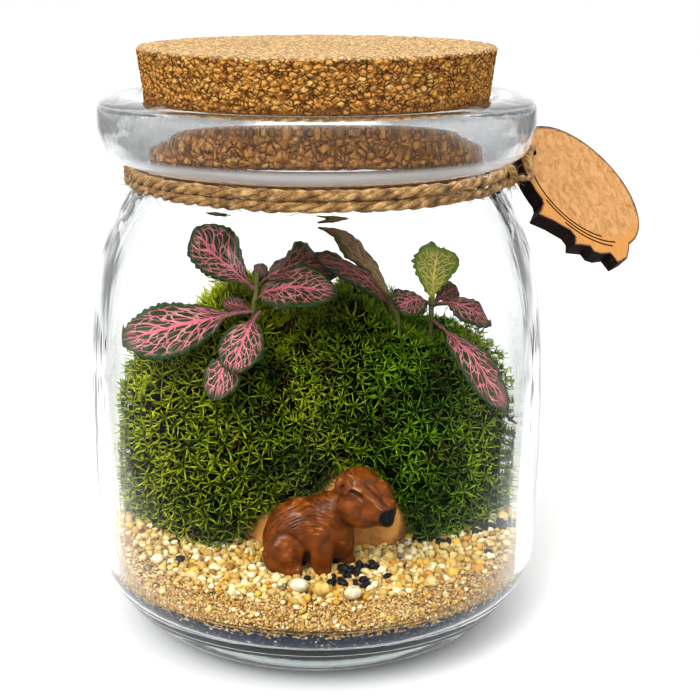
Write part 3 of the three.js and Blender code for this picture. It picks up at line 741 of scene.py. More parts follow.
@dataclass(frozen=True)
class DampSoil:
    """Damp potting soil."""

    dark: Colour = (0.012, 0.008, 0.004)
    crumb: Colour = (0.10, 0.055, 0.025)

    def make(self) -> bpy.types.Material:
        """Draws the material."""
        palette = Palette("damp_soil")
        crumbs = palette.noise(palette.place(), 700, 5, 0.7)
        colour = palette.ramp(crumbs, [(0.4, self.dark), (0.7, self.crumb)])
        return palette.surface(colour, 0.9, palette.bump(crumbs, 0.9, 0.8), 0.1)


@dataclass(frozen=True)
class MossGreen:
    """Living moss: yellow-green at its tips, darkened by painted shade towards its foot and in the cushion
    under the shoots.
    """

    foot: Colour = (0.003, 0.005, 0.001)
    deep: Colour = (0.030, 0.072, 0.001)
    fresh: Colour = (0.28, 0.38, 0.005)
    young: Colour = (0.53, 0.57, 0.010)
    right_tint: Colour = (0.58, 1.0, 0.6)
    tangle: Colour = (0.012, 0.026, 0.002)
    brown: Colour = (0.20, 0.10, 0.015)
    right_from: Band = (0.002, 0.016)
    right_to: Band = (0.032, 0.040)

    def make(self) -> bpy.types.Material:
        """Draws the shoots' material, from each shoot's tone and the place along its needles."""
        palette = Palette("moss_green")
        tone = palette.mark("tone")
        along = palette.mark("along")
        tip = palette.ramp(tone, [(0.0, self.brown), (0.06, self.deep), (0.35, self.fresh),
                                  (0.85, self.young), (1.0, self.young)])
        base = palette.ramp(tone, [(0.0, self.foot), (0.5, self.deep), (1.0, self.fresh)])
        across = palette.parts(palette.place())[0]
        right = palette.times(palette.grade(across, *self.right_from),
                              palette.grade(across, *self.right_to, 0.85, 0.35))
        tip = palette.blend(right, tip, self.right_tint, "MULTIPLY")
        # Painted shade: each needle darkens towards its foot, down among the shoots.
        colour = palette.blend(palette.grade(along, 0.05, 0.75), base, tip)
        patch = palette.grade(palette.noise(palette.place(), 800, 2), 0.35, 0.8, 0, 0.45)
        colour = palette.blend(patch, colour, self.deep)
        relief = palette.bump(palette.noise(palette.place(), 3000, 2), 0.3, 0.1)
        return palette.surface(colour, 0.5, relief, 0.2)

    def core(self) -> bpy.types.Material:
        """Draws the cushion under the shoots, near black: painted shade deep in the moss."""
        palette = Palette("moss_cushion")
        tangle = palette.noise(palette.place(), 900, 5, 0.75, 0.7)
        colour = palette.ramp(tangle, [(0.45, self.foot), (0.68, self.tangle), (0.85, self.deep)])
        return palette.surface(colour, 0.95, palette.bump(tangle, 1.0, 1.2), 0.05)


@dataclass(frozen=True)
class RiverStone:
    """A smooth tan stone."""

    name: str = "river_stone"
    body: Colour = (0.48, 0.212, 0.047)
    light: Colour = (0.70, 0.36, 0.10)
    dark: Colour = (0.13, 0.055, 0.013)
    grain: float = 1.0

    def make(self) -> bpy.types.Material:
        """Draws the material."""
        palette = Palette(self.name)
        cloud = palette.noise(palette.place(), 130 * self.grain, 4, 0.6, 0.5)
        colour = palette.ramp(cloud, [(0.32, self.dark), (0.5, self.body), (0.68, self.light)])
        specks = palette.noise(palette.place(), 2100 * self.grain, 3, 0.7)
        colour = palette.blend(palette.grade(specks, 0.6, 0.72, 0, 0.6), colour, self.dark)
        height = palette.sum("ADD", palette.noise(palette.place(), 420 * self.grain, 4), specks)
        return palette.surface(colour, 0.6, palette.bump(height, 0.3, 0.25), 0.25)


@dataclass(frozen=True)
class GlazedFur:
    """Chestnut paint, darker in the brushed grooves, under a thin glaze, with painted shade in the folds and
    painted highlights.
    """

    painted_highlight: Colour = (0.80, 0.46, 0.21)
    ridge: Colour = (0.205, 0.053, 0.002)
    body: Colour = (0.076, 0.017, 0.0005)
    groove: Colour = (0.018, 0.0045, 0.001)
    black: Colour = (0.002, 0.002, 0.002)

    def make(self) -> bpy.types.Material:
        """Draws the material, from the noted groove, painted shade and painted highlight, and paint."""
        palette = Palette("glazed_fur")
        depth = palette.mark("groove")
        cloud = palette.noise(palette.place(), 380, 4, 0.6)
        colour = palette.ramp(cloud, [(0.36, self.body), (0.62, self.ridge)])
        # Positive marks darken: the brushed grooves, the eye's slit, and painted shade in the folds and the
        # ears' bowls.
        colour = palette.blend(palette.grade(depth, 0.1, 0.95, 0, 0.9), colour, self.groove)
        # Negative marks paint highlights: glints on the glaze, the lids, the muzzle and the ears' rims.
        colour = palette.blend(palette.grade(depth, -1.0, -0.1, 0.8, 0), colour, self.painted_highlight)
        colour = palette.blend(palette.mark("paint"), colour, self.black)
        relief = palette.bump(palette.noise(palette.place(), 1500, 4, 0.7), 0.3, 0.2)
        return palette.surface(colour, 0.40, relief, 0.08, {"Coat Weight": 0.28, "Coat Roughness": 0.13})


# The leaves' side veins, which the finish and the relief share
VEIN_PAIRS = 8
VEIN_SLANT = 0.30
VEIN_BEND = 0.85
VEIN_SHIFT = 0.25


@dataclass(frozen=True)
class VeinedLeaf:
    """A fittonia leaf: a net of pale veins on a darker blade."""

    name: str
    blade: Colour
    rim: Colour
    vein: Colour
    midrib: Colour

    def make(self) -> bpy.types.Material:
        """Draws the material on the leaf's own UV map."""
        palette = Palette(self.name)
        own = palette.put("UVMap", uv_map="UVMap").outputs[0]
        bent_along, bent_across, _ = palette.parts(palette.bend(own, own, 7, 2, 0.045, 0.5))
        along, level, _ = palette.parts(own)
        signed = palette.times(palette.sum("SUBTRACT", bent_across, 0.5), 2.0)
        across = palette.sum("ABSOLUTE", signed)
        shift = palette.times(palette.sum("SIGN", signed), VEIN_SHIFT / VEIN_PAIRS)
        lean = palette.times(palette.sum("POWER", across, VEIN_BEND), VEIN_SLANT)
        ahead = palette.sum("ADD", palette.sum("SUBTRACT", bent_along, lean), shift)
        phase = palette.times(ahead, VEIN_PAIRS)
        side_gap = palette.sum("ABSOLUTE", palette.sum("SUBTRACT", palette.sum("FRACT", phase), 0.5))
        side_width = palette.grade(across, 0.0, 0.9, 0.122, 0.055)
        side = palette.sum("SUBTRACT", 1.0, palette.sum("DIVIDE", side_gap, side_width), clamp=True)
        net_place = palette.put("CombineXYZ", {0: palette.times(phase, 1.45),
                                               1: palette.times(signed, 4.4)}).outputs[0]
        net = palette.grade(palette.cells(net_place, 1.0, "DISTANCE_TO_EDGE"), 0.018, 0.085, 0.85, 0)
        rib_width = palette.grade(along, 0.05, 0.95, 0.13, 0.035)
        rib = palette.sum("SUBTRACT", 1.0, palette.sum("DIVIDE", across, rib_width), clamp=True)
        veins = palette.sum("MAXIMUM", palette.grade(side, 0.1, 0.5), net)
        from_rib = palette.sum("ABSOLUTE", palette.times(palette.sum("SUBTRACT", level, 0.5), 2.0))
        edge = palette.grade(from_rib, 0.76, 0.90, 1, 0)
        shown = palette.times(palette.times(veins, edge), palette.grade(along, 0.90, 0.97, 1, 0))
        cloud = palette.noise(palette.place(), 260, 3)
        blade = palette.blend(palette.grade(cloud, 0.3, 0.7), self.blade, self.rim)
        blade = palette.blend(palette.sum("SUBTRACT", 1.0, edge, clamp=True), blade, self.rim)
        tint = palette.blend(palette.grade(palette.noise(own, 5, 2), 0.4, 0.65), self.vein, self.midrib)
        colour = palette.blend(shown, blade, tint)
        colour = palette.blend(palette.grade(rib, 0.05, 0.5), colour, self.midrib)
        height = palette.sum("SUBTRACT", palette.noise(palette.place(), 2600, 2),
                             palette.times(palette.sum("MAXIMUM", shown, rib), 1.2))
        return palette.surface(colour, 0.45, palette.bump(height, 0.5, 0.25), 0.25)


class LeafKind(Enum):
    """The looks that the fittonia leaves have."""

    PINK = VeinedLeaf("leaf_pink", (0.019, 0.025, 0.008), (0.026, 0.056, 0.011), (0.67, 0.29, 0.29),
                      (0.65, 0.14, 0.22))
    LIME = VeinedLeaf("leaf_lime", (0.27, 0.33, 0.022), (0.13, 0.23, 0.020), (0.80, 0.64, 0.16),
                      (0.84, 0.60, 0.20))
    OLIVE = VeinedLeaf("leaf_olive", (0.21, 0.170, 0.045), (0.105, 0.120, 0.032), (0.56, 0.33, 0.24),
                       (0.50, 0.24, 0.18))
    DUSK = VeinedLeaf("leaf_dusk", (0.032, 0.021, 0.012), (0.026, 0.042, 0.013), (0.40, 0.155, 0.13),
                      (0.42, 0.10, 0.115))


@dataclass(frozen=True)
class GreenStem:
    """A pale green stem with a faint blush."""

    green: Colour = (0.095, 0.150, 0.020)
    blush: Colour = (0.150, 0.125, 0.035)

    def make(self) -> bpy.types.Material:
        """Draws the material."""
        palette = Palette("green_stem")
        cloud = palette.noise(palette.place(), 330, 3)
        relief = palette.bump(palette.noise(palette.place(), 2400, 2), 0.4, 0.1)
        return palette.surface(palette.ramp(cloud, [(0.35, self.green), (0.7, self.blush)]), 0.5, relief)


# The ground's shape, which several pieces share
@dataclass(frozen=True)
class Ground:
    """The gravel's top and the jar's hollow, as the CAD source has them."""

    front: float = 16.3
    rest: float = 17.8
    slope_from: float = -28.0
    slope_run: float = 18.0
    bank_rise: float = 6.0
    bank_from: float = 26.0
    bank_run: float = 20.0
    behind_from: float = -42.0
    behind_run: float = 30.0
    hollow: tuple[tuple[float, float], ...] = (
        (39.5, 8.8), (44.45, 10.85), (46.5, 15.8), (46.5, 58), (45.6, 72), (43.2, 84), (39.3, 92.6),
        (35.2, 99.5))

    def top(self, x: float | np.ndarray, y: float | np.ndarray) -> float | np.ndarray:
        """Gives the gravel's height."""
        dip = (self.rest - self.front) * smooth_step((self.slope_from - y) / self.slope_run)
        bank = self.bank_rise * smooth_step((np.abs(x) - self.bank_from) / self.bank_run)
        return self.rest - dip + bank * smooth_step((y - self.behind_from) / self.behind_run)

    def wall(self, height: float | np.ndarray) -> float | np.ndarray:
        """Gives the hollow's radius at a height."""
        return np.interp(height, [z for _, z in self.hollow], [r for r, _ in self.hollow])


GROUND = Ground()


# Pieces
@dataclass
class GlassJar:
    """The jar: thick base, straight wall, shoulder, neck and rolled rim."""

    radius: float = 50.0
    heel_width: float = 16.3
    heel_height: float = 18.3
    heel_power: float = 1.25
    inner_radius: float = 46.5
    floor: float = 8.8
    corner: float = 7.0
    steps: int = 144
    shoulder: tuple[tuple[float, float], ...] = (
        (50, 52), (49.15, 67), (46.85, 82), (43.3, 91), (39.4, 97.5))
    rim: tuple[tuple[float, float], ...] = (
        (38.3, 103.5), (41.6, 103.9), (44.5, 105.75), (46.1, 110), (46.2, 113), (45.9, 114.9), (44.8, 116.1),
        (42.5, 116.7), (39.6, 116.8), (37.9, 116.4), (37.1, 115.7))
    throat: tuple[tuple[float, float], ...] = ((36.69, 115.4), (35.73, 107.3))
    inner_shoulder: tuple[tuple[float, float], ...] = (
        (35.2, 99.5), (39.3, 92.6), (43.2, 84), (45.6, 72), (46.5, 58))

    def profile(self) -> list[tuple[float, float]]:
        """Draws the wall's outline, from the middle of the base up the outside and down the inside."""
        heel = []
        for k in range(15):
            angle = math.pi / 2 * k / 14
            width = self.heel_width * (1 - math.sin(angle) ** self.heel_power)
            heel.append((self.radius - width, self.heel_height * (1 - math.cos(angle) ** self.heel_power)))
        corner = []
        for k in range(9):
            angle = math.pi / 2 * k / 8
            corner.append((self.inner_radius - self.corner * (1 - math.cos(angle)),
                           self.floor + self.corner * (1 - math.sin(angle))))
        base = [(0, 0), (12, 0), (24, 0), (32, 0)]
        return [*base, *heel, (self.radius, 35), *flow(self.shoulder, 6), (38.6, 98.15), (38.3, 98.8),
                *flow(self.rim, 5), *self.throat, *flow(self.inner_shoulder, 6), (self.inner_radius, 35),
                *corner, (26, self.floor), (12, self.floor), (0, self.floor)]

    def build(self) -> None:
        """Turns the jar and dresses it."""
        piece = lathe("jar_glass", self.profile(), self.steps)
        deliver(piece, ClearGlass().make(), "glass", "glass_jar")


@dataclass
class CorkStopper:
    """The tapered cork, half in the neck."""

    top: float = 126.8
    bottom: float = 107.6
    top_radius: float = 37.7
    bottom_radius: float = 35.4
    edge: float = 0.6
    rows: int = 44
    rings: int = 30
    steps: int = 340
    granule: float = 1.75
    joint_width: float = 0.30
    joint_depth: float = 0.40
    pit_depth: float = 0.6
    crumb_depth: float = 0.16

    def radius_at(self, height: float) -> float:
        """Gives the taper's radius."""
        share = (height - self.bottom) / (self.top - self.bottom)
        return self.bottom_radius + share * (self.top_radius - self.bottom_radius)

    def profile(self) -> list[tuple[float, float]]:
        """Draws the outline, with enough rows for the granules."""
        under = [(r, self.bottom) for r in np.linspace(0, self.bottom_radius - self.edge, 10)]
        levels = np.linspace(self.bottom + self.edge, self.top - self.edge, self.rows)
        side = [(self.radius_at(z), z) for z in levels]
        over = [(r, self.top) for r in np.linspace(self.top_radius - self.edge, 0, self.rings)]
        return [*under, *side, *over]

    def roughen(self, piece: Piece) -> None:
        """Sinks the joints between granules and the pits, and never raises anything."""
        points = mesh_points(piece)
        normals = mesh_points(piece, "normal")
        sunk = np.empty(len(points))
        for k, point in enumerate(points):
            place = Vector(point) * 1000
            shift = Vector((0.3, 0.3, 0.3)) * noise.noise(place / 1.3)
            near = noise.voronoi(place / self.granule + shift)[0]
            joint = 1 - min(1.0, (near[1] - near[0]) / self.joint_width)
            pit = max(0.0, noise.noise(place / 1.5 + Vector((7, 3, 1))) - 0.22) * 2.0
            crumb = (noise.noise(place / 0.8) + 1) / 2
            sunk[k] = self.joint_depth * joint + self.pit_depth * pit + self.crumb_depth * crumb
        on_side = 1 - 0.55 * np.abs(normals[:, 2])
        set_points(piece, points - normals * (sunk * on_side * MM)[:, None])

    def build(self) -> None:
        """Turns the cork, roughens it and dresses it."""
        piece = lathe("cork_stopper_granules", self.profile(), self.steps)
        self.roughen(piece)
        deliver(piece, PressedCork().make(), "cork", "cork_stopper")


@dataclass
class WoodTag:
    """The round tag with its jagged lower edge."""

    centre: Place = (58.5, 8.0, 95.9)
    facing: Place = (0.525, -0.467, 0.711)
    radius: float = 17.0
    thickness: float = 3.2
    hole: float = 1.5
    hole_out: float = 14.0
    hole_angle: float = -15.0
    rim_width: float = 0.55
    bevel: float = 0.18
    edge_reach: float = 0.35
    arc_width: float = 0.26
    arc_steps: int = 36
    arcs: tuple[tuple[float, float, float], ...] = ((14.7, 12, 104), (15.8, 44, 118), (16.9, 66, 112))
    round_from: float = 4.0
    round_steps: int = 66
    jags: tuple[tuple[float, float], ...] = (
        (18, 46), (22.2, 50), (19.6, 59), (18.2, 72), (19.1, 76), (21.7, 76.5), (19.3, 88), (20.5, 91),
        (20.3, 97), (19.1, 106), (21.6, 109), (20.1, 121), (17.8, 131))

    def frame(self) -> Matrix:
        """Gives the tag's own axes: inward, across and out, in metres."""
        out = Vector(self.facing).normalized()
        inward = Vector((-1, 0, 0))
        inward = (inward - out * inward.dot(out)).normalized()
        across = out.cross(inward)
        axes = Matrix((inward, across, out)).transposed().to_4x4()
        return Matrix.Translation(Vector(self.centre) * MM) @ axes

    def point(self, distance: float, degrees: float, height: float) -> Place:
        """Gives a place on the tag, in millimetres."""
        own = Vector((*polar(distance, math.radians(degrees)), height)) * MM
        return tuple(v / MM for v in self.frame() @ own)

    def outline(self) -> list[tuple[float, float]]:
        """Gives the edge as distance and angle pairs."""
        first, last = self.jags[-1][1] + self.round_from, 360 + self.jags[0][1] - self.round_from
        turns = [first + k * (last - first) / self.round_steps for k in range(self.round_steps + 1)]
        return [*self.jags, *((self.radius, turn) for turn in turns)]

    def build(self) -> None:
        """Cuts the disc, pierces it, burns its edge and dresses it."""
        outline = self.outline()
        deselect()
        bpy.ops.mesh.primitive_circle_add(vertices=len(outline), radius=self.radius * MM, fill_type="NGON")
        piece = bpy.context.object
        piece.name = "laser_cut_tag"
        for vertex, (distance, degrees) in zip(piece.data.vertices, outline):
            vertex.co = (*polar(distance * MM, math.radians(degrees)), 0)
        with Editing(piece, "FACE"):
            face_outwards()
            bpy.ops.mesh.extrude_region_move(
                TRANSFORM_OT_translate={"value": (0, 0, -self.thickness * MM)})
            face_outwards()
        with Editing(piece, "FACE") as editing:
            editing.select_faces(lambda face: abs(face.normal.z) > 0.9)
            bpy.ops.mesh.inset(thickness=self.rim_width * MM)
        self.pierce(piece)
        self.engrave(piece)
        apply_modifier(piece, "BEVEL", width=self.bevel * MM, segments=2, limit_method="ANGLE",
                       angle_limit=math.radians(50))
        frame_here = self.frame()
        note(piece, "edge", self.near_edge(mesh_points(piece) / MM, outline))
        piece.data.materials.append(LaserWood().make(frame_here.translation, frame_here.to_euler()))
        piece.data.materials.append(Char().make())
        for face in piece.data.polygons:
            face.material_index = int(abs(face.normal.z) < 0.75)
        piece.matrix_world = frame_here
        deliver(piece, None, "tag_wood", "wood_tag")

    def near_edge(self, points: np.ndarray, outline: Sequence[tuple[float, float]]) -> np.ndarray:
        """Tells which points lie along the outline, 1, and which further in, 0."""
        angles = np.radians([degrees for _, degrees in outline])
        reach = np.array([distance for distance, _ in outline])
        corners = np.stack([reach * np.cos(angles), reach * np.sin(angles)], axis=1)
        runs = np.roll(corners, -1, axis=0) - corners
        nearest = np.full(len(points), np.inf)
        for corner, run in zip(corners, runs):
            away = points[:, :2] - corner
            share = np.clip(away @ run / (run @ run), 0, 1)
            nearest = np.minimum(nearest, np.linalg.norm(away - share[:, None] * run, axis=1))
        return (nearest < self.edge_reach).astype(float)

    def pierce(self, piece: Piece) -> None:
        """Drills the hole through the disc."""
        x, y = polar(self.hole_out, math.radians(self.hole_angle))
        deselect()
        bpy.ops.mesh.primitive_cylinder_add(
            vertices=32, radius=self.hole * MM, depth=20 * MM, location=(x * MM, y * MM, 0))
        cut_out(piece, bpy.context.object)

    def engrave(self, piece: Piece) -> None:
        """Cuts the fine arcs that follow the lower edge."""
        for radius, first, last in self.arcs:
            deselect()
            bpy.ops.mesh.primitive_circle_add(vertices=4, radius=self.arc_width * MM, fill_type="NGON",
                                              location=(radius * MM, 0, 0), rotation=(math.pi / 2, 0, 0))
            cutter = apply_place(bpy.context.object)
            with Editing(cutter, "FACE"):
                bpy.ops.mesh.select_all(action="SELECT")
                bpy.ops.mesh.spin(steps=self.arc_steps, angle=math.radians(last - first), center=(0, 0, 0),
                                  axis=(0, 0, 1))
                bpy.ops.mesh.select_all(action="SELECT")
                bpy.ops.mesh.remove_doubles(threshold=0.001 * MM)
                bpy.ops.mesh.normals_make_consistent(inside=False)
            reach = max(math.degrees(math.atan2(v.co.y, v.co.x)) for v in cutter.data.vertices)
            cutter.rotation_euler = (0, 0, math.radians(first if reach > 1 else last))
            cut_out(piece, cutter)


@dataclass
class JuteTwine:
    """Two turns of three-ply twine, the knot, its frayed ends and the strand to the tag."""

    ring: float = 39.95
    heights: tuple[float, float] = (99.6, 101.95)
    ply: float = 0.62
    ply_out: float = 0.56
    pitch: float = 10.5
    knot_angle: float = -15.0
    knot_out: float = 41.2
    knot_height: float = 100.9
    between: float = 100.8
    closer: float = 0.34
    tie_over: float = 1.4
    fibres: int = 820
    tuft_fibres: int = 95
    fibre: float = 0.055
    seed: int = 5

    def plies(self, path: Callable[[float], Vector], length: float, plies: int, out: float,
              pitch: float) -> list[list[Vector]]:
        """Twists plies round a path.

        Args:
            path: gives a place in millimetres for a share from 0 to 1.
            length: the path's length.
            plies: how many strands are twisted together.
            out: how far a strand's middle lies from the path.
            pitch: the length of one full twist.

        Returns:
            The points of each strand.
        """
        count = max(12, int(length / pitch * 12))
        runs = []
        for which in range(plies):
            run = []
            for k in range(count + 1):
                share = k / count
                here = path(share)
                ahead = (path(min(1, share + 0.002)) - path(max(0, share - 0.002))).normalized()
                side = ahead.cross(Vector((0, 0, 1)))
                side = side.normalized() if side.length > 1e-3 else Vector((1, 0, 0))
                up = side.cross(ahead)
                stray = noise.noise_vector(Vector((share * length / 5.5, which * 7.0, length)))
                turn = FULL_TURN * (share * length / pitch + which / plies) + 1.1 * stray.x
                apart = out * (1 + 0.45 * stray.y)
                run.append(here + apart * (side * math.cos(turn) + up * math.sin(turn)))
            runs.append(run)
        return runs

    def turn_path(self, height: float) -> Callable[[float], Vector]:
        """Gives the path of one turn round the neck, from knot to knot."""
        def path(share: float) -> Vector:
            """Gives a place on the turn."""
            angle = math.radians(self.knot_angle) + FULL_TURN * share
            lean = math.copysign(self.closer, self.between - height) * (0.5 + 0.5 * math.sin(2 * angle + 0.6))
            sway = lean + 0.10 * math.sin(3 * angle + height)
            return Vector((*polar(self.ring, angle), height + sway))
        return path

    def tag_path(self, tag: WoodTag) -> list[Point]:
        """Gives the strand's route from the knot through the tag's hole."""
        over = self.tie_over
        on_tag = ((18.6, 27, over), (16.6, 10, over), (15.1, -3, over), (14.1, -14, 0.8), (14, -15, -1.28),
                  (14, -15, -4.6))
        return flow([self.knot_centre(), *(tag.point(*spot) for spot in on_tag)], 7)

    def knot_centre(self) -> Point:
        """Gives the knot's middle."""
        return (*polar(self.knot_out, math.radians(self.knot_angle)), self.knot_height)

    def knot(self) -> Piece:
        """Ties two crossing loops of twine round each other."""
        middle = Vector(self.knot_centre())
        outward = Vector((*polar(1, math.radians(self.knot_angle)), 0))
        sideways = Vector((-outward.y, outward.x, 0))
        runs = []
        for tilt, flip in ((0.5, 1), (-0.6, -1)):
            def loop(share: float) -> Vector:
                """Gives a place on the loop."""
                turn = FULL_TURN * share
                lift = Vector((0, 0, 1)) * math.cos(tilt) + sideways * math.sin(tilt)
                return (middle + outward * (0.95 * math.cos(turn) * flip)
                        + lift * (1.75 * math.sin(turn)) + sideways * (0.45 * flip * math.cos(2 * turn)))
            runs += self.plies(loop, 8.6, 3, 0.42, 5.0)
        return cords("knot", runs, 0.5, 8)

    def fray(self, rng: random.Random) -> Piece:
        """Draws the loose fibres along the turns and the tuft at the knot."""
        runs = []
        for _ in range(self.fibres):
            angle = rng.uniform(0, FULL_TURN)
            height = rng.choice(self.heights)
            start = Vector((*polar(self.ring, angle), height))
            outward = Vector((*polar(1, angle), 0))
            round_ring = Vector((-outward.y, outward.x, 0)) * rng.choice((-1, 1))
            lift = Vector((0, 0, 1)) * rng.uniform(-0.9, 0.9)
            start += (outward * rng.uniform(0.3, 0.9) + lift * 0.8) * 0.9
            length = rng.uniform(0.8, 2.4) if rng.random() < 0.8 else rng.uniform(2.5, 5.0)
            end = start + (round_ring * 0.9 + outward * rng.uniform(0.0, 0.5) + lift * 0.45) * length
            bow = (outward * rng.uniform(-0.1, 0.3) + lift * rng.uniform(0, 0.5)) * length * 0.4
            runs.append([start, start.lerp(end, 0.35) + bow, start.lerp(end, 0.7) + bow, end])
        middle = Vector(self.knot_centre())
        for _ in range(self.tuft_fibres):
            spread = Vector((rng.gauss(0, 1), rng.gauss(0, 1), rng.gauss(-0.35, 1))).normalized()
            spread.x = abs(spread.x) * 0.6 if rng.random() < 0.7 else spread.x
            start = middle + spread * 1.2
            reach = rng.uniform(1.6, 4.6)
            curl = Vector((rng.gauss(0, 1), rng.gauss(0, 1), rng.gauss(0, 1))).normalized() * reach * 0.3
            end = start + spread * reach
            mid = start.lerp(end, 0.5) + curl
            runs.append([start, start.lerp(mid, 0.55), mid, end.lerp(mid, 0.4) - curl * 0.2])
        return cords("fray", runs, self.fibre, 4, taper=[1, 0.9, 0.75, 0.3])

    def build(self, tag: WoodTag) -> None:
        """Winds the twine, ties it and dresses it.

        Args:
            tag: the tag that hangs from it.
        """
        rng = random.Random(self.seed)
        noise.seed_set(self.seed)
        length = FULL_TURN * self.ring
        runs = [run for height in self.heights
                for run in self.plies(self.turn_path(height), length, 3, self.ply_out, self.pitch)]
        thick = [1 + 0.28 * noise.noise(Vector((k / 5.0, 3.0, 1.0))) for k in range(len(runs[0]))]
        turns = cords("turns", runs, self.ply, 8, thick)
        route = self.tag_path(tag)

        def strand(share: float) -> Vector:
            """Gives a place on the strand to the tag."""
            place = share * (len(route) - 1)
            low = min(int(place), len(route) - 2)
            return Vector(route[low]).lerp(Vector(route[low + 1]), place - low)

        tie = cords("tie", self.plies(strand, 26, 2, 0.33, 3.4), 0.40, 8)
        stopper = ball(tag.point(14, -15, -5.3), (1.55, 1.55, 1.4))
        piece = join_pieces("jute_three_ply", [turns, tie, stopper, self.knot(), self.fray(rng)])
        deliver(piece, JuteFibre().make(), "jute", "jute_twine")


@dataclass
class GritLayer:
    """The dark grit under the sand."""

    top: float = 15.2
    foot: float = 9.2
    clear: float = 0.5
    rough: float = 0.45
    steps: int = 220

    def build(self) -> None:
        """Turns the layer, roughens its side and dresses it."""
        wall = float(GROUND.wall(self.top)) - 0.55
        side = [(min(float(GROUND.wall(z)) - self.clear, wall), z) for z in np.linspace(9.3, self.top, 12)]
        profile = [(0, self.foot), (20, self.foot), (38.6, self.foot), *side,
                   (40, self.top), (20, self.top), (0, self.top)]
        piece = lathe("grit_bed", profile, self.steps)
        points = mesh_points(piece)
        for k, point in enumerate(points):
            flat = math.hypot(point[0], point[1])
            if flat > 0.03:
                shift = (noise.noise(Vector(point) * 1100) - 0.5) * self.rough * MM
                points[k, :2] *= 1 + shift / flat
        set_points(piece, points)
        deliver(piece, DarkGrit().make(), "grit", "grit_layer")


class Crowd:
    """The grains that lie on the sand, kept by square cells so that near ones are quickly found."""

    def __init__(self, cell: float = 3) -> None:
        """Starts with none. No two grains may keep each other further apart than a cell."""
        self.cell = cell
        self.grains: dict[tuple[int, int], list[tuple[float, float, float]]] = {}

    def admit(self, x: float, y: float, width: float, spacing: float) -> bool:
        """Takes a grain in unless another lies nearer than spacing times their mean width."""
        column, row = int(x // self.cell), int(y // self.cell)
        near = [other for dx in (-1, 0, 1) for dy in (-1, 0, 1)
                for other in self.grains.get((column + dx, row + dy), ())]
        if any(math.hypot(x - ox, y - oy) < spacing * (width + ow) / 2 for ox, oy, ow in near):
            return False
        self.grains.setdefault((column, row), []).append((x, y, width))
        return True


@dataclass(frozen=True)
class GrainLayer:
    """One size of grains: the throws, the width in millimetres, and how they lie."""

    name: str
    throws: int
    width: float
    spacing: float
    sink: float
    detail: int
    flat: float


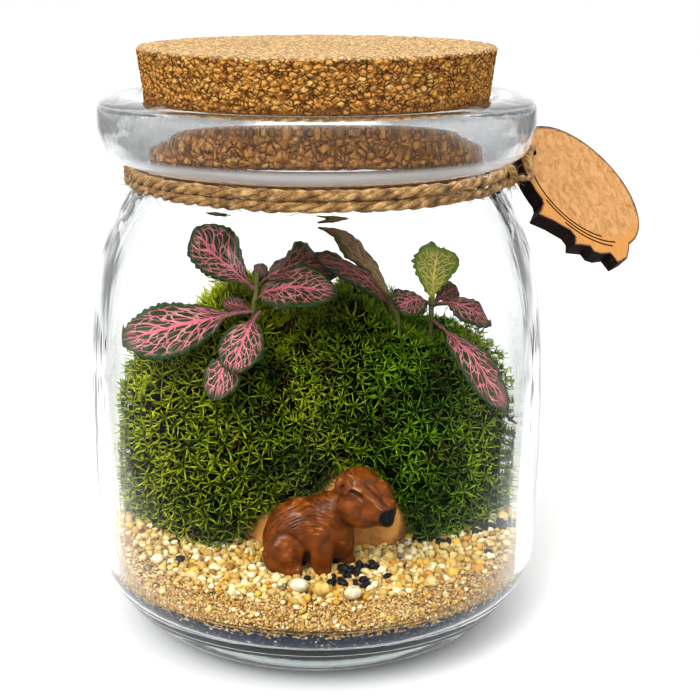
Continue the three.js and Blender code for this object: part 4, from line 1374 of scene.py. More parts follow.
@dataclass
class GravelBed:
    """The sand and gravel: one body of sand, and thousands of separate grains on it."""

    wall: float = 46.1
    foot: float = 15.45
    flat_top: float = 17.8
    steps: int = 200
    seed: int = 41
    black_tone: float = 0.985
    black_share: float = 0.008
    blacks: tuple[Place, ...] = (
        (4.2, -29.0, 1.7), (9.4, -29.4, 1.5), (11.0, -20.6, 2.0), (-1.9, -27.6, 0.8), (24.2, -7.0, 2.2),
        (28.1, -10.5, 1.5), (37.2, -9.5, 2.4), (41.6, -11.5, 2.2), (7.2, -24.6, 2.3), (4.8, -27.0, 1.5))
    heap: GrainLayer = GrainLayer("gravel_black", 60, 1.8, 0.84, 0.22, 2, 0.85)
    layers: tuple[GrainLayer, ...] = (
        GrainLayer("gravel_large", 1500, 2.2, 0.88, 0.30, 2, 0.8),
        GrainLayer("gravel_middle", 12000, 1.6, 0.80, 0.26, 2, 0.82),
        GrainLayer("gravel_small", 17000, 1.05, 0.76, 0.16, 1, 0.85),
        GrainLayer("sand_grains", 34000, 0.52, 0.66, 0.08, 1, 0.9))

    def body(self) -> Piece:
        """Makes the sand's body, its top a little rough."""
        rings = list(np.linspace(0, self.wall - 0.35, 64))
        over = [(r, self.flat_top) for r in reversed(rings)]
        side = [(self.wall - 0.1, z) for z in (self.foot, 15.8, 16.1)]
        piece = lathe("sand_body", [(0, self.foot), (20, self.foot), (38, self.foot), *side,
                                    (self.wall - 0.1, 17.0), *over], self.steps)
        points = mesh_points(piece) / MM
        level = GROUND.top(points[:, 0], points[:, 1])
        rough = np.array([noise.noise(Vector(p) * 1.1) * 0.16 + noise.noise(Vector(p) * 0.35) * 0.3
                          for p in points])
        high = points[:, 2] > 16.5
        edge = high & (points[:, 2] < 17.4)
        points[high, 2] = (level + rough)[high] - 0.22
        points[edge, 2] -= 0.35
        set_points(piece, points * MM)
        return piece

    def pattern(self, rng: random.Random, detail: int) -> Piece:
        """Makes one irregular grain, about a unit across in millimetres."""
        grain = ball((0, 0, 0), (0.5, 0.5, 0.5), detail=detail)
        for vertex in grain.data.vertices:
            vertex.co *= 1 + 0.30 * (noise.noise(vertex.co * 2600 + Vector((rng.random() * 9, 0, 0))))
        return grain

    def wanted(self, name: str, x: float, y: float) -> float:
        """Gives the chance that a place takes a grain of a layer.

        Args:
            name: the layer's name.
            x: the place, in millimetres.
            y: the place, in millimetres.

        Returns:
            The chance. The moss leaves its own ground bare of gravel, and sand shows in a band at the front.
        """
        if name == "sand_grains":
            return float(y < -14)
        coarse = ease((y + 38.0 - 0.0108 * x * x) / 4.5)
        bare = y < 6 or abs(x) > 34
        if name == "gravel_large":
            return (0.10 + 0.40 * ease((abs(x - 3) - 17) / 8)) * coarse * bare
        return (coarse ** 1.5 if name == "gravel_middle" else 0.07 + coarse) * bare

    def scatter(self, rng: random.Random, layer: GrainLayer, crowd: Crowd) -> list[tuple[float, ...]]:
        """Throws a layer's grains on the sand, and gives (x, y, z, width) of those that found room."""
        found = []
        for _ in range(layer.throws):
            radius = self.wall * math.sqrt(rng.random())
            x, y = polar(radius, rng.uniform(0, FULL_TURN))
            if rng.random() > self.wanted(layer.name, x, y):
                continue
            width = layer.width * rng.uniform(0.75, 1.3)
            if radius + width * 0.45 <= self.wall and crowd.admit(x, y, width, layer.spacing):
                found.append((x, y, float(GROUND.top(x, y)) + width * (0.5 - layer.sink), width))
        return found

    def heap_blacks(self, rng: random.Random, crowd: Crowd) -> list[tuple[float, ...]]:
        """Heaps the larger black stones at their places, before anything else is thrown."""
        found = []
        for middle_x, middle_y, reach in self.blacks:
            for _ in range(self.heap.throws):
                angle, out = rng.uniform(0, FULL_TURN), reach * math.sqrt(rng.random())
                x, y = middle_x + out * math.cos(angle), middle_y + out * math.sin(angle)
                width = rng.uniform(self.heap.width - 0.5, self.heap.width + 0.5)
                if crowd.admit(x, y, width, self.heap.spacing):
                    found.append((x, y, float(GROUND.top(x, y)) + width * (0.5 - self.heap.sink), width))
        return found

    def lay(self, rng: random.Random, layer: GrainLayer, spots: list[tuple[float, ...]]) -> Piece:
        """Lays grains at spots, each turned by chance, and toned by chance unless it's a black one."""
        black = layer is self.heap
        places, tones = [], []
        for x, y, z, width in spots:
            tilt = (rng.uniform(-0.5, 0.5), rng.uniform(-0.5, 0.5), rng.uniform(0, FULL_TURN))
            size = (width * rng.uniform(0.85, 1.25), width * rng.uniform(0.8, 1.1), width * layer.flat)
            shape = Euler(tilt).to_matrix() @ Matrix.Diagonal(size)
            places.append(Matrix.Translation(Vector((x, y, z)) * MM) @ shape.to_4x4())
            tones.append(self.black_tone if black or rng.random() < self.black_share else rng.random() * 0.97)
        piece = lay_copies(layer.name, self.pattern(rng, layer.detail), places, tones)
        pick(piece)
        if layer.detail > 1:
            bpy.ops.object.shade_smooth()
        else:
            bpy.ops.object.shade_flat()
        return piece

    def build(self) -> None:
        """Pours the sand, throws the grains and dresses them."""
        rng = random.Random(self.seed)
        crowd = Crowd()
        thrown = [(self.heap, self.heap_blacks(rng, crowd))]
        thrown += [(layer, self.scatter(rng, layer, crowd)) for layer in self.layers]
        fine = tuple(SAND_COLOURS)
        deliver(self.body(), GrainMix("sand_mix", 0.55, False, colours=fine).make(), "gravel", "gravel_bed")
        gravel = GrainMix("gravel_mix", 0.62, True, 0.12).make()
        sand = GrainMix("sand_grain_mix", 0.62, True, 0.12, fine).make()
        for layer, spots in thrown:
            finish = sand if layer.name == "sand_grains" else gravel
            deliver(self.lay(rng, layer, spots), finish, "gravel", "gravel_bed")


@dataclass
class MossBank:
    """The moss: a dark cushion and thousands of star-like shoots."""

    centre: Place = (0.0, 14.0, 18.0)
    reach: float = 64.0
    front: float = 26.0
    back: float = 60.0
    height: float = 52.0
    power: float = 2.5
    to_glass: float = 1.9
    recess_centre: Place = (2.9, -10.0, 19.0)
    recess_radii: Place = (19.4, 8.5, 16.4)
    seed: int = 12
    under_spacing: float = 2.0
    over_spacing: float = 2.25
    shoots: int = 2400
    back_shoots: int = 1600
    near_glass: float = 4.5
    to_press: float = 0.12
    brown_share: float = 0.07
    young_clump: Place = (-20, 6, 64)

    def inside(self, points: np.ndarray, grown: float) -> np.ndarray:
        """Tells which points lie in the moss, its surface moved outwards by grown."""
        x, y, z = points.T
        around = np.arctan2(y - self.centre[1], x)
        mounds = (1 + 0.022 * np.sin(5 * around + 0.06 * z) + 0.02 * np.sin(9 * around - 0.13 * z + 1)
                  + 0.018 * np.sin(0.22 * x + 0.17 * z + 2))
        depth = np.where(y < self.centre[1], self.front, self.back)
        crest = 0.90 + 0.10 * np.exp(-((x + 19) / 7) ** 2) + 0.08 * np.exp(-((x - 9.5) / 4) ** 2)
        form = ((np.abs(x) / (self.reach * mounds + grown)) ** self.power
                + (np.abs(y - self.centre[1]) / (depth * mounds + grown)) ** self.power
                + (np.maximum(z - self.centre[2], 0) / (self.height * crest * mounds + grown)) ** self.power)
        upright = self.recess_centre[2] + (z - self.recess_centre[2]) / Boulder.slope(x)
        near_stone = sum(((v - c) / (r - grown)) ** 2
                         for v, c, r in zip((x, y, upright), self.recess_centre, self.recess_radii)) < 1
        in_jar = np.hypot(x, y) < GROUND.wall(z) - self.to_glass + min(grown, 0)
        return (form < 1) & in_jar & ~near_stone

    def cushion(self, grown: float, detail: int) -> Piece:
        """Makes the cushion from a ball whose points are drawn out to the moss's surface."""
        piece = ball((0, 0, 0), (1, 1, 1), detail=detail)
        ways = mesh_points(piece)
        ways /= np.linalg.norm(ways, axis=1)[:, None]
        centre = np.array(self.centre)
        reach = np.full(len(ways), 2.0)
        growing = np.ones(len(ways), bool)
        while growing.any() and reach.max() < 75:
            trial = centre + ways * (reach + 0.25)[:, None]
            growing &= self.inside(trial, grown)
            reach[growing] += 0.25
        points = centre + ways * reach[:, None]
        rest = GROUND.top(points[:, 0], points[:, 1])
        points[:, 2] = np.maximum(points[:, 2], rest - 0.3)
        set_points(piece, points * MM)
        return piece

    def star(self, rng: random.Random) -> tuple[Piece, np.ndarray]:
        """Makes one shoot: eight bent needles in two whorls.

        Returns:
            The shoot, a millimetre wide on average, and how far along its needle each point lies.
        """
        needles = []
        along = []
        for k in range(8):
            outer = k < 5
            turn = FULL_TURN * (k / 5 if outer else (k + 0.4) / 3) + rng.uniform(-0.2, 0.2)
            lean = math.radians(rng.uniform(56, 80) if outer else rng.uniform(18, 44))
            length = rng.uniform(2.5, 3.5) if outer else rng.uniform(2.0, 3.0)
            deselect()
            bpy.ops.mesh.primitive_circle_add(vertices=3, radius=0.155 * MM, fill_type="NGON")
            needle = bpy.context.object
            with Editing(needle, "FACE"):
                bpy.ops.mesh.select_all(action="SELECT")
                bpy.ops.mesh.flip_normals()
                bpy.ops.mesh.extrude_region_move(TRANSFORM_OT_translate={"value": (0, 0, 0.5 * length * MM)})
                bpy.ops.mesh.extrude_region_move(
                    TRANSFORM_OT_translate={"value": (-0.16 * length * MM, 0, 0.48 * length * MM)})
                bpy.ops.mesh.merge(type="CENTER")
                face_outwards()
            needle.rotation_euler = Euler((0, lean, turn))
            apply_place(needle)
            heights = np.array([(v.co.length / MM) / length for v in needle.data.vertices])
            along.append(np.clip(heights, 0, 1))
            needles.append(needle)
        return join_pieces("star", needles), np.concatenate(along)

    def seats(self, rng: random.Random, cushion: Piece, spacing: float) -> list[tuple[Vector, Vector]]:
        """Finds where shoots stand, spacing apart over the cushion, each with the way it faces."""
        mesh = cushion.data
        faces = [f for f in mesh.polygons if f.center.z > 0.0182]
        weights = [f.area * (1.0 if f.normal.y < 0.35 or f.normal.z > 0.5 else 0.8) for f in faces]
        picks = rng.choices(faces, weights=weights, k=26000)
        grid: dict[tuple[int, int, int], list[Vector]] = {}
        found = []
        for face in picks:
            corners = [mesh.vertices[i].co for i in face.vertices]
            a, b = sorted((rng.random(), rng.random()))
            spot = (corners[0] * a + corners[1] * (b - a) + corners[2] * (1 - b)) / MM
            cell = tuple(int(v // spacing) for v in spot)
            near = [other for dx in (-1, 0, 1) for dy in (-1, 0, 1) for dz in (-1, 0, 1)
                    for other in grid.get((cell[0] + dx, cell[1] + dy, cell[2] + dz), ())]
            if any((other - spot).length < spacing for other in near):
                continue
            grid.setdefault(cell, []).append(spot)
            found.append((spot, face.normal.copy()))
        return found

    def tone(self, rng: random.Random, spot: Vector) -> float:
        """Gives a shoot's tone: yellower at both sides and in patches, brown here and there."""
        patch = noise.noise(spot / 8)
        value = 0.49 + 0.55 * patch + rng.gauss(0, 0.13)
        value += 0.42 * ease((-spot.x - 18) / 15) + 0.40 * ease((spot.x - 27) / 12)
        value += 0.16 * ease((spot.z - 54) / 12) - 0.10 * ease((34 - spot.z) / 14)
        value += 0.4 * ease((9 - (spot - Vector(self.young_clump)).length) / 5)
        if rng.random() < self.brown_share and patch < 0.1:
            return 0.0
        return min(max(value, 0.08), 1.0)

    def stand(self, rng: random.Random, spot: Vector, normal: Vector, lift: float, size: float) -> Matrix:
        """Stands one shoot on the cushion, out to the glass where that is near.

        Args:
            rng: the seeded source of chance.
            spot: the place on the cushion, in millimetres.
            normal: the way that the cushion faces there.
            lift: how far above the cushion the shoot stands.
            size: the shoot's size.

        Returns:
            Its place, in metres.
        """
        sway = Vector((rng.gauss(0, 0.26), rng.gauss(0, 0.26), 0.4 + rng.gauss(0, 0.18)))
        way = (normal + sway).normalized()
        stand = spot + normal * lift
        outward = Vector((stand.x, stand.y, 0)).normalized()
        room = float(GROUND.wall(stand.z)) - math.hypot(stand.x, stand.y)
        if room < self.near_glass:
            stand += outward * max(0.0, room - rng.uniform(1.4, 3.0)) * 0.9
            way = (way - outward * way.dot(outward) * 0.45).normalized()
        turn = turned(way, rng.uniform(0, FULL_TURN)) @ Matrix.Scale(size, 3)
        return Matrix.Translation(stand * MM) @ turn.to_4x4()

    @staticmethod
    def size(rng: random.Random, spot: Vector, high: bool) -> float:
        """Draws a shoot's size: one that stands out is larger, and more so towards the left."""
        if not high:
            return rng.uniform(0.75, 1.05)
        size = rng.uniform(0.85, 1.15) if rng.random() < 0.8 else rng.uniform(1.15, 1.45)
        return size * (1 + 0.22 * ease((-spot.x - 6) / 14))

    def press(self, piece: Piece) -> None:
        """Presses what would reach through the glass flat against it."""
        points = mesh_points(piece)
        out = np.hypot(points[:, 0], points[:, 1])
        limit = (GROUND.wall(points[:, 2] / MM) - self.to_press) * MM
        points[:, :2] *= np.minimum(1, limit / np.maximum(out, MM))[:, None]
        set_points(piece, points)

    def build(self) -> None:
        """Grows the cushion and the shoots and dresses them."""
        rng = random.Random(self.seed)
        cushion = self.cushion(-1.7, 6)
        cushion.name = "moss_cushion"
        groups: dict[str, tuple[list[Matrix], list[float]]] = {
            name: ([], []) for name in ("moss_front", "moss_back", "moss_tips", "moss_back_tips")}
        for fore, hind, spacing, high, lift, share in (
                ("moss_front", "moss_back", self.under_spacing, False, 0.3, 0.55),
                ("moss_tips", "moss_back_tips", self.over_spacing, True, 1.25, 1)):
            for spot, normal in self.seats(rng, cushion, spacing):
                front = normal.y < 0.2 or spot.y < 4
                places, tones = groups[fore if front else hind]
                if len(places) < (self.shoots if front else self.back_shoots):
                    places.append(self.stand(rng, spot, normal, lift, self.size(rng, spot, high)))
                    tones.append(share * self.tone(rng, spot))
        finish = MossGreen().make()
        deliver(cushion, MossGreen().core(), "moss", "moss_bank")
        for name, (places, tones) in groups.items():
            LOG.info("%s: %d shoots", name, len(places))
            star, along = self.star(rng)
            piece = lay_copies(name, star, places, tones, along)
            self.press(piece)
            deliver(smooth(piece), finish, "moss", "moss_bank")


@dataclass
class Boulder:
    """The tan stone behind the figurine."""

    centre: Place = (2.9, -7.2, 19.0)
    radii: Place = (18.5, 5.6, 15.5)
    seat: float = 18.1

    @staticmethod
    def slope(x: float | np.ndarray) -> float | np.ndarray:
        """Gives the share of its height that the stone keeps at x: it falls away to the left."""
        return 0.58 + 0.40 * smooth_step((x + 3) / 8)

    def build(self) -> None:
        """Shapes the stone as the source does, lower at the left and with finer bumps, and dresses it."""
        piece = ball((0, 0, 0), (1000, 1000, 1000), detail=6)
        points = mesh_points(piece)
        points /= np.linalg.norm(points, axis=1)[:, None]
        x, y, z = points.T
        swell = 1 + 0.035 * np.sin(4 * x + 1) * np.cos(3 * z) - 0.03 * np.sin(5 * y + 2 * x)
        fine = np.array([0.012 * noise.noise(Vector(p) * 3.1) + 0.004 * noise.noise(Vector(p) * 11)
                         for p in points])
        points *= (swell + fine)[:, None]
        points = points * np.array(self.radii) + np.array(self.centre)
        lowered = self.seat + (points[:, 2] - self.seat) * self.slope(points[:, 0])
        points[:, 2] = np.maximum(self.seat, lowered)
        set_points(piece, points * MM)
        piece.name = "tan_boulder"
        deliver(smooth(piece), RiverStone().make(), "stone", "boulder")


@dataclass
class LoosePebbles:
    """The three larger pebbles at the figurine's feet."""

    places: tuple[tuple[str, float, float, float, float, float, float, str], ...] = (
        ("pebble_left", -3.6, -32.8, 2.2, 1.7, 1.5, -12, "pebble_cream"),
        ("pebble_middle", 1.0, -34.3, 1.8, 1.6, 1.6, 20, "pebble_yellow"),
        ("pebble_right", 7.3, -35.5, 1.8, 1.7, 1.5, 5, "pebble_cream"))
    lift: float = 0.35
    cream: RiverStone = RiverStone("cream_pebble", (0.60, 0.54, 0.37), (0.74, 0.69, 0.55),
                                   (0.38, 0.29, 0.15), 3)
    yellow: RiverStone = RiverStone("yellow_pebble", (0.62, 0.43, 0.12), (0.74, 0.58, 0.25),
                                    (0.40, 0.22, 0.05), 3)

    def build(self) -> None:
        """Shapes and dresses the pebbles."""
        finishes = {"pebble_cream": self.cream.make(), "pebble_yellow": self.yellow.make()}
        for node, x, y, long, wide, tall, turn, slot in self.places:
            height = float(GROUND.top(x, y)) + self.lift + tall
            piece = ball((x, y, height), (long, wide, tall), (0, 0, turn), 4)
            for vertex in piece.data.vertices:
                away = vertex.co - Vector((x, y, height)) * MM
                vertex.co -= away * (0.03 + 0.07 * noise.noise(away * 600 + Vector((x, 0, 0))))
            piece.name = node + "_stone"
            deliver(smooth(piece), finishes[slot], slot, node)


@dataclass(frozen=True)
class Oval:
    """An upright oval on the figurine's side, in millimetres."""

    x: float
    z: float
    long: float
    tall: float

    def away(self, p: Vector) -> float:
        """Tells how far a place lies from the oval's middle: 1 on its line."""
        return math.hypot((p.x - self.x) / self.long, (p.z - self.z) / self.tall)


@dataclass
class Capybara:
    """The glossy figurine of a resting capybara."""

    seat: float = 18.1
    skin_cell: float = 0.25
    haunch: Oval = Oval(-7.0, 22.0, 4.6, 4.9)
    cheek: Oval = Oval(9.2, 33.4, 5.3, 5.6)
    shoulder: Oval = Oval(0.2, 29, 2.6, 2.2)
    knee: Oval = Oval(-5.5, 24, 1.6, 1.3)
    eye: Place = (8.4, -21.2, 36.6)
    eye_out: float = 4.1
    nose: Place = (14.6, -26.8, 31.5)
    muzzle: tuple[float, float] = (9.6, 38.5)
    ear_radii: Place = (1.4, 1.2, 1.75)
    lumps: tuple[tuple[tuple[float, ...], tuple[float, ...], tuple[float, ...]], ...] = (
        ((-2.6, -20, 25.8), (8.6, 6, 7.6), (0, -8, 0)),
        ((-5.4, -20.2, 24), (6.3, 5.9, 7), (0, 0, 0)),
        ((2.6, -20, 27.6), (5.6, 5.2, 7.2), (0, 0, 0)),
        ((-7, -24, 22), (4.6, 3, 4.9), (0, 0, 0)),
        ((-5.6, -16.6, 22.2), (4.8, 2.8, 4.8), (0, 0, 0)),
        ((6.4, -20.8, 31.8), (4.6, 4.4, 5.2), (0, 25, 0)),
        ((8.9, -21, 36), (4.9, 4.6, 4.7), (0, 0, 0)),
        ((11.8, -22, 35.3), (4.1, 4, 3.3), (0, 0, 0)),
        ((13, -23.4, 32.4), (3.9, 3.6, 3.9), (0, 0, 0)),
        ((8.6, -23.2, 32.4), (4.2, 3.3, 3.9), (0, 0, 0)),
        ((9.8, -23.6, 30.6), (3.6, 2.8, 2.5), (0, 0, 0)),
        ((14.7, -25.4, 31.2), (1.6, 1.5, 2.3), (0, 0, 0)),
        ((0.9, -24.2, 23.2), (2.7, 2.5, 5.9), (0, 0, 0)),
        ((1.2, -24.9, 18.9), (2.1, 1.6, 1.3), (0, 0, 0)),
        ((4.4, -20.6, 24.8), (3.3, 3.4, 5.0), (0, 0, 0)),
        ((5.9, -19.2, 22.6), (2.3, 2.1, 5.2), (0, 0, 0)),
        ((6.4, -19.6, 18.9), (2.1, 1.6, 1.3), (0, 0, 0)),
        ((-4.4, -25.6, 18.9), (3, 1.6, 1.3), (0, 0, 0)))
    ears: tuple[Place, ...] = ((5.0, -24.5, 37.9), (7.4, -17.4, 36.4))

    def rough_form(self) -> Piece:
        """Joins the lumps, melts them into one skin and cuts the flat under the feet."""
        lumps = [ball(centre, radii, turn, 4) for centre, radii, turn in self.lumps]
        lumps += [ball(centre, self.ear_radii, detail=3) for centre in self.ears]
        piece = join_pieces("capybara_glazed", lumps)
        apply_modifier(piece, "REMESH", mode="VOXEL", voxel_size=self.skin_cell * MM, adaptivity=0)
        apply_modifier(piece, "SMOOTH", factor=0.5, iterations=20)
        points = mesh_points(piece)
        points[:, 2] = np.maximum(points[:, 2], self.seat * MM)
        set_points(piece, points)
        return piece

    def stroke(self, p: Vector) -> float:
        """Gives how deep the brushed groove is at a place, from 0 to 1."""
        if self.haunch.away(p) < 1.0 and p.y < -20:
            line = math.hypot(p.x + 9.5, p.z - 14.5) / 0.9
            strength = 0.30
        elif p.x > 4.5 and p.z > 28.5:
            line = (0.50 * (p.x - 9.4) + 0.86 * (p.z - 34.8)) / 0.66
            strength = 0.45
        else:
            line = math.hypot(p.x + 1.2, p.z - 22.5) / 0.66
            strength = 0.30 + 0.55 * ease((p.z - 24) / 4)
        line += 0.5 * noise.noise(p / 4.2) + 0.15 * noise.noise(p / 1.4)
        wave = 0.5 + 0.5 * math.cos(FULL_TURN * line)
        gate = min(1.0, max(0.0, 0.60 + 1.5 * noise.noise(p / 1.1 + Vector((5, 1, 2)))))
        return strength * wave ** 2 * gate

    def muzzle_line(self, p: Vector) -> tuple[float, float]:
        """Gives how far a place lies over the crease from brow to nose, and how far along it."""
        x, z = p.x - self.muzzle[0], p.z - self.muzzle[1]
        return 0.68 * x + 0.73 * z, 0.73 * x - 0.68 * z

    def folds(self, p: Vector) -> tuple[float, float]:
        """Gives the depth of the folds between the legs, round the haunch, along the jaw and down the muzzle,
        and the painted shade that darkens them.
        """
        if p.y > -21:
            return 0.0, 0.0
        gap = bell(p.x + 2.1 - 0.06 * (p.z - 21), 0.6) * ease((24.0 - p.z) / 2)
        rim = bell(self.haunch.away(p) - 1.08, 0.08) * ease((p.x + 12) / 3)
        jaw = bell(self.cheek.away(p) - 1.02, 0.10) * ease((9.5 - p.x) / 2) * ease((37 - p.z) / 2)
        over, along = self.muzzle_line(p)
        line = bell(over, 0.30) * bell(along - 3.9, 3.9, 4) * ease(-22.5 - p.y)
        return gap + 0.35 * rim + 0.6 * jaw + 0.28 * line, max(gap, 0.5 * rim, 0.42 * jaw, 0.9 * line)

    def painted_highlight_share(self, p: Vector, up: float, brushed: float) -> float:
        """Gives how much painted highlight lies on the glaze at a place, from 0 to 1, more where the figurine
        faces up.

        Args:
            p: a place on the figurine, in millimetres.
            up: how far the figurine faces upwards there.
            brushed: the depth of the brushed groove there.

        Returns:
            The share of painted highlight.
        """
        neck = bell(self.cheek.away(p) - 1.22, 0.09) * ease((6 - p.x) / 2)
        shoulder, knee = bell(self.shoulder.away(p), 1), bell(self.knee.away(p), 1)
        spots = noise.noise(Vector((p.x / 1.3, p.y / 1.3, p.z / 0.7)) + Vector((3, 8, 1)))
        lit = spots + 0.30 * max(up, 0) + 0.42 * neck + 0.34 * shoulder + 0.30 * knee
        return ease((lit - 0.34) / 0.45) * (1 - brushed) ** 3

    def face(self, p: Vector, mark: float) -> tuple[float, float]:
        """Cuts the closed eyes and the ears' bowls.

        Args:
            p: a place on the figurine, in millimetres.
            mark: how dark the brushed groove makes it, less the painted highlight there.

        Returns:
            How deep it's cut, and its mark: dark in the eye's slit, painted shade in the ears' bowls, and
            negative for painted highlights.
        """
        depth = 0.0
        for side in (-1, 1):
            away = p - Vector((self.eye[0], self.eye[1] + side * self.eye_out, self.eye[2]))
            run = away.x * 0.92 - away.z * 0.39
            rise = away.x * 0.39 + away.z * 0.92
            if abs(away.y) < 2.4:
                bent = rise + 0.12 * run * run
                bulge = bell(run, 1.9) * bell(rise, 1.1)
                cut = bell(run, 1.45, 4) * bell(bent, 0.36)
                lid = bell(run + 0.4, 1.2, 4) * bell(bent - 0.80, 0.42)
                under = bell(run - 1.0, 0.9, 4) * bell(bent + 0.75, 0.36)
                depth += 0.8 * cut - 0.15 * lid - 0.35 * bulge
                # The lids above and below the slit get painted highlights.
                mark = mark * (1 - bulge) - 0.65 * lid - 0.45 * under + 2.0 * cut
        over, along = self.muzzle_line(p)
        # A painted highlight runs along the top of the muzzle.
        if p.y < -22.5:
            mark -= 0.40 * bell(over + 1.15, 0.36) * bell(along - 4.6, 2.6, 4)
        for ear in self.ears:
            away = p - (Vector(ear) + Vector((0.5, -0.9 if ear[1] < -20 else 0.9, 0.1)))
            hollow = bell(away.length, 0.8)
            ring = bell(math.hypot(away.x, 0.8 * away.z) - 1.25, 0.35) * (abs(away.y) < 1.6)
            depth += 0.75 * hollow - 0.4 * ring
            # Painted shade in the ear's bowl, and a painted highlight on its rim.
            mark = (max(mark, 1.4 * hollow) if hollow > 0.05 else mark) - 0.28 * ring
        return depth, mark

    def carve(self, piece: Piece) -> None:
        """Brushes the fur, cuts the folds and the face, and notes groove and paint; the groove mark also
        carries the painted shade of the folds and the ears' bowls, and painted highlights as negative values.
        """
        points = mesh_points(piece) / MM
        normals = mesh_points(piece, "normal")
        groove = np.zeros(len(points))
        paint = np.zeros(len(points))
        for k, point in enumerate(points):
            p = Vector(point)
            if p.z < self.seat + 0.05:
                continue
            brushed = self.stroke(p)
            fold, dark = self.folds(p)
            cut, mark = self.face(p, brushed - 0.36 * self.painted_highlight_share(p, float(normals[k][2]), brushed))
            depth = 0.2 * brushed + fold + cut
            away = p - Vector(self.nose)
            if p.x > self.nose[0] - 3:
                spread = math.hypot(min(away.x, 0) / 1.75, away.z / (2.1 if away.z < 0 else 1.9))
                paint[k] = (1 - ease((spread - 0.94) / 0.12)) * ease((-20.6 - p.y) / 0.8)
            if p.y < -23.5:
                for across in (-0.8, 0.75):
                    depth += 0.4 * bell(away.x - across, 0.42) * bell(away.z - 0.5, 0.5)
            # The folds' painted shade joins the groove mark.
            groove[k] = max(mark, dark) if dark > 0.05 else mark
            points[k] -= normals[k] * depth
        set_points(piece, points * MM)
        note(piece, "groove", groove)
        note(piece, "paint", paint)

    def build(self) -> None:
        """Shapes, carves and dresses the figurine."""
        piece = self.rough_form()
        self.carve(piece)
        deliver(smooth(piece), GlazedFur().make(), "figurine", "capybara_figurine")


@dataclass(frozen=True)
class Leaf:
    """One leaf, from where its stalk leaves the stem to its tip, in millimetres."""

    base: Place
    tip: Place
    width: float
    stalk: float
    face: Place
    arch: float
    cup: float
    kind: LeafKind = LeafKind.PINK
    blunt: float = 0.0

    def points(self, along: np.ndarray, across: np.ndarray, thickness: float = 0.0) -> np.ndarray:
        """Gives places on the blade.

        Args:
            along: shares from the base to the tip.
            across: shares from one edge, -1, to the other, 1.
            thickness: how far under the blade's upper face.

        Returns:
            The places, in millimetres.
        """
        start = np.array(self.base)
        run = np.array(self.tip) - start
        length = float(np.linalg.norm(run))
        ahead = run / length
        normal = np.array(self.face) - ahead * float(np.dot(self.face, ahead))
        normal /= np.linalg.norm(normal)
        side = np.cross(ahead, normal)
        share = np.clip((along - self.stalk) / (1 - self.stalk), 0, 1)
        outline = np.sin(np.pi * share ** (1.1 + self.blunt)) ** (0.62 - 0.2 * self.blunt)
        count = round(0.62 * length)
        teeth = 0.97 + 0.085 * np.abs(np.sin(np.pi * count * along)) * np.abs(across) ** 8
        half = np.maximum(0.55, 0.5 * self.width * outline * teeth)
        rise = 4 * self.arch * length * along * (1 - along) - self.cup * half * across ** 2 * 2
        shift = VEIN_SHIFT / VEIN_PAIRS * np.sign(across)
        phase = (along - VEIN_SLANT * np.abs(across) ** VEIN_BEND + shift) * VEIN_PAIRS
        quilt = 0.34 * np.abs(np.sin(np.pi * (phase - 0.5))) * np.sqrt(np.abs(across)) * outline
        fold = -0.30 * np.exp(-(across / 0.12) ** 2) * outline
        ruffle = (0.45 - 0.4 * self.blunt) * np.sin(np.pi * 5 * along + 2 * self.width)
        ruffle *= np.abs(across) ** 4 * outline
        height = rise + quilt + fold + ruffle - thickness
        return start + run * along[:, None] + side * (across * half)[:, None] + normal * height[:, None]

    def build(self, name: str) -> Piece:
        """Shapes the blade from a flat grid, and gives it its thickness."""
        deselect()
        bpy.ops.mesh.primitive_grid_add(x_subdivisions=100, y_subdivisions=18, size=1, calc_uvs=True)
        piece = bpy.context.object
        piece.name = name
        flat = mesh_points(piece)
        set_points(piece, self.points(flat[:, 0] + 0.5, flat[:, 1] * 2) * MM)
        apply_modifier(piece, "SOLIDIFY", thickness=0.5 * MM, offset=self.solid_side(piece))
        piece.data.materials.append(bpy.data.materials[self.kind.value.name])
        return smooth(piece)

    def solid_side(self, piece: Piece) -> int:
        """Tells Solidify which side is under the blade."""
        middle = piece.data.polygons[len(piece.data.polygons) // 2].normal
        return -1 if middle.dot(Vector(self.face)) > 0 else 1


@dataclass
class Sprig:
    """One fittonia sprig: a stem and its leaves."""

    node: str
    stem: tuple[Place, ...]
    leaves: tuple[Leaf, ...]
    radius: float = 0.6

    def build(self, stem_finish: bpy.types.Material) -> None:
        """Grows the stem and the leaves and dresses them."""
        stem = cords("stem", [flow(self.stem, 6)], self.radius, 10)
        stem.data.materials.append(stem_finish)
        blades = [leaf.build(f"{self.node}_blade") for leaf in self.leaves]
        piece = join_pieces(self.node + "_sprig", [*blades, stem])
        with Editing(piece):
            face_outwards()
        deliver(piece, None, "leaf", self.node)


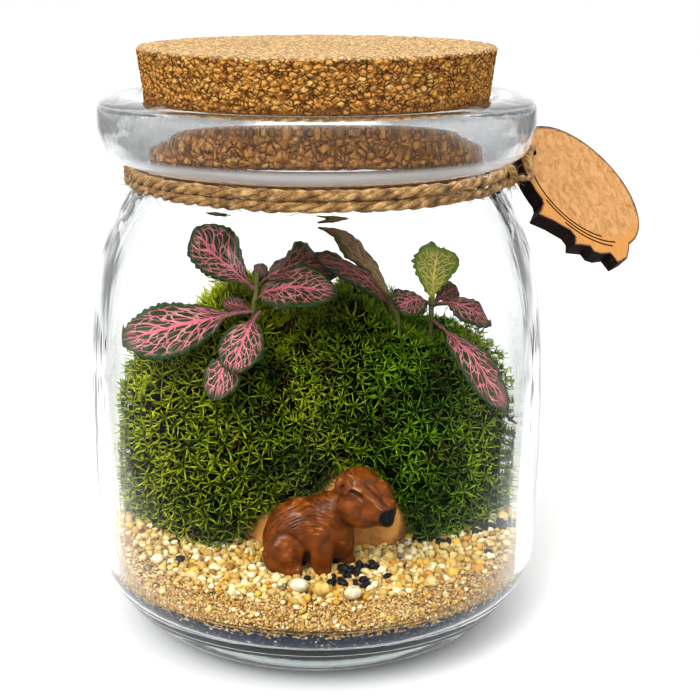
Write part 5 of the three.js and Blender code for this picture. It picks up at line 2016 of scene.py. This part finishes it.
SPRIGS = (
    Sprig("fittonia_left", ((-14.9, 1, 56), (-14.5, 1, 65.6), (-13.5, 0.4, 72), (-13, 0, 77.4)), (
        Leaf((-13.4, 0.4, 72.8), (-27.1, 2, 85.8), 10.8, 0.14, (-0.2, -0.9, 0.4), 0.02, 0.08, blunt=0.3),
        Leaf((-13.9, 0.8, 69), (-42.3, -9, 64.6), 14.5, 0.2, (-0.1, -0.72, 0.7), 0.06, 0.12, blunt=0.25),
        Leaf((-12.6, 0.8, 69), (-18.2, -12.4, 58), 10, 0.25, (0, -0.6, 0.7), 0.2, 0.16),
        Leaf((-14.4, 0.8, 66.8), (-22.4, -12.2, 52.2), 8.4, 0.5, (-0.2, -0.8, 0.5), 0.12, 0.1),
        Leaf((-13.9, 1, 68.9), (-21, 2.6, 70.4), 4.4, 0.3, (0, -0.6, 0.8), 0.04, 0.1, LeafKind.DUSK),
        Leaf((-13.7, 0.5, 71.2), (4.3, -8, 74.4), 11.5, 0.1, (0.1, -0.66, 0.75), 0.16, -0.1),
        Leaf((-13.3, 0.2, 73.6), (5.0, 3.6, 76.6), 11.5, 0.12, (0, -0.5, 0.86), 0.28, 0.1, LeafKind.DUSK),
        Leaf((-13.2, 0.2, 74), (-12.1, 1.2, 79.4), 3.4, 0.25, (-0.3, -0.9, 0.2), -0.05, -0.1,
             LeafKind.DUSK))),
    Sprig("fittonia_middle", ((19.4, 5, 56), (18.6, 5, 63), (18, 5, 67.6), (16.6, 5.1, 71.4)), (
        Leaf((17.2, 5, 67.6), (-0.6, 0.6, 81.6), 6.6, 0.12, (0.3, -0.55, 0.75), 0.12, 0.14, LeafKind.DUSK),
        Leaf((17, 5.2, 68), (0.4, 12.4, 84.4), 6.6, 0.08, (0.66, -0.4, 0.6), 0.16, 0.1, LeafKind.OLIVE))),
    Sprig("fittonia_right", ((25.6, 4, 56), (25.6, 4, 63), (25.6, 4, 67), (25.5, 4, 70.8)), (
        Leaf((25.6, 4, 68.6), (27.2, 6, 82.2), 10.6, 0.14, (0, -0.95, 0.2), -0.03, -0.06, LeafKind.LIME, 0.9),
        Leaf((25.6, 4, 66.6), (41.4, -12, 49.6), 8.9, 0.2, (0.3, -0.66, 0.6), 0.1, 0.12),
        Leaf((25.6, 4, 69.6), (39.4, 1, 66), 7.6, 0.22, (0.2, -0.5, 0.82), 0.2, 0.14),
        Leaf((25.6, 4, 69.8), (17.2, -4.2, 71.2), 7.4, 0.22, (-0.2, -0.7, 0.68), 0.12, 0.1, blunt=0.3),
        Leaf((25.6, 4.2, 69.2), (32.6, 9, 72), 6, 0.3, (-0.1, -0.7, 0.7), 0.1, 0.1, LeafKind.DUSK))))


# The studio
@dataclass
class Studio:
    """The camera, a pale floor and soft light."""

    camera_place: Place = (0.0, -0.280, 0.1443)
    camera_tilt: float = 90 - 16.74
    lens: float = 67.22
    shift: float = 0.0476
    floor_size: float = 80.0
    front_air: float = 0.3
    back_air: float = 1.35
    top_air: float = 1.22
    level_band: Band = (0.60, 0.92)
    rise_band: Band = (0.12, 0.55)
    dark_side: Colour = (0.21, 0.215, 0.22)
    dark_band: Band = (0.34, 0.52)
    dark_from: float = 0.30
    ahead_least: float = 0.00001

    def set_camera(self) -> None:
        """Stands the camera where the photograph was taken from."""
        deselect()
        bpy.ops.object.camera_add(location=self.camera_place, rotation=(math.radians(self.camera_tilt), 0, 0))
        camera = bpy.context.object
        camera.data.sensor_width = 36
        camera.data.lens = self.lens
        camera.data.shift_x = self.shift
        camera.data.clip_start = 0.01
        camera.data.clip_end = 120
        bpy.context.scene.camera = camera

    def lay_floor(self) -> None:
        """Lays the pale floor, dark at both sides of the view, which gives the glass its edges."""
        deselect()
        bpy.ops.mesh.primitive_grid_add(x_subdivisions=8, y_subdivisions=8, size=self.floor_size)
        floor = bpy.context.object
        floor.name = "pale_floor"
        palette = Palette("pale_floor")
        cloud = palette.noise(palette.place(), 3, 2)
        pale = palette.ramp(cloud, [(0.3, (0.90, 0.90, 0.90)), (0.7, (0.93, 0.93, 0.93))])
        aside, forward, _ = palette.parts(palette.place())
        ahead = palette.sum("MAXIMUM", palette.sum("ADD", forward, self.dark_from), self.ahead_least)
        aside = palette.grade(palette.sum("DIVIDE", palette.sum("ABSOLUTE", aside), ahead), *self.dark_band)
        colour = palette.blend(aside, pale, self.dark_side)
        floor.data.materials.append(palette.surface(colour, 0.7, gloss=0.2))

    def add_lamp(self, name: str, place: Point, aim: Point, size: float, power: float) -> None:
        """Adds one soft square lamp that looks at a place, sizes in metres."""
        deselect()
        turn = (Vector(aim) - Vector(place)).to_track_quat("-Z", "Y").to_euler()
        bpy.ops.object.light_add(type="AREA", location=place, rotation=turn)
        lamp = bpy.context.object
        lamp.name = name
        lamp.data.shape = "SQUARE"
        lamp.data.size = size
        lamp.data.energy = power

    def light(self) -> None:
        """Lights the room: a bright back, darker sides and two soft lamps."""
        world = bpy.data.worlds.new("studio_air")
        bpy.context.scene.world = world
        air = Palette("studio_air", world)
        _, level, rise = air.parts(air.put("TexCoord").outputs["Generated"])
        level = air.grade(level, *self.level_band, self.front_air, self.back_air)
        mixed = air.put("Mix", {0: air.grade(rise, *self.rise_band), 2: level, 3: self.top_air}).outputs[0]
        glow = air.put("Background", {"Strength": mixed}).outputs[0]
        air.put("OutputWorld", {"Surface": glow})
        self.add_lamp("key_lamp", (-0.45, -0.60, 0.80), (0, 0, 0.05), 0.5, 7.0)
        self.add_lamp("fill_lamp", (0.65, -0.45, 0.60), (0, 0, 0.05), 0.6, 2.0)

    def settle(self) -> None:
        """Sets how the light is read: plain tones, no caustics from reflections, and light that passes
        through glass after a bounce.
        """
        scene = bpy.context.scene
        scene.view_settings.view_transform = "Standard"
        scene.view_settings.look = "Medium High Contrast"
        scene.cycles.caustics_reflective = False
        scene.cycles.caustics_refractive = True
        scene.cycles.transmission_bounces = 16
        scene.cycles.max_bounces = 18
        scene.cycles.transparent_max_bounces = 24

    def build(self) -> None:
        """Sets up the whole studio."""
        self.set_camera()
        self.lay_floor()
        self.light()
        self.settle()


def dress_soil() -> None:
    """Gives the hidden soil mound, which stays as the CAD has it, its finish."""
    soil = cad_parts["soil_mound"]
    soil.data.materials.clear()
    soil.data.materials.append(DampSoil().make())


def main() -> None:
    """Builds the studio and every piece in order."""
    logging.basicConfig(level=logging.INFO, format="%(message)s")
    Studio().build()
    GlassJar().build()
    CorkStopper().build()
    tag = WoodTag()
    tag.build()
    JuteTwine().build(tag)
    GritLayer().build()
    GravelBed().build()
    dress_soil()
    MossBank().build()
    Boulder().build()
    LoosePebbles().build()
    Capybara().build()
    for kind in LeafKind:
        kind.value.make()
    stem_finish = GreenStem().make()
    for sprig in SPRIGS:
        sprig.build(stem_finish)


if __name__ == "__main__":
    main()
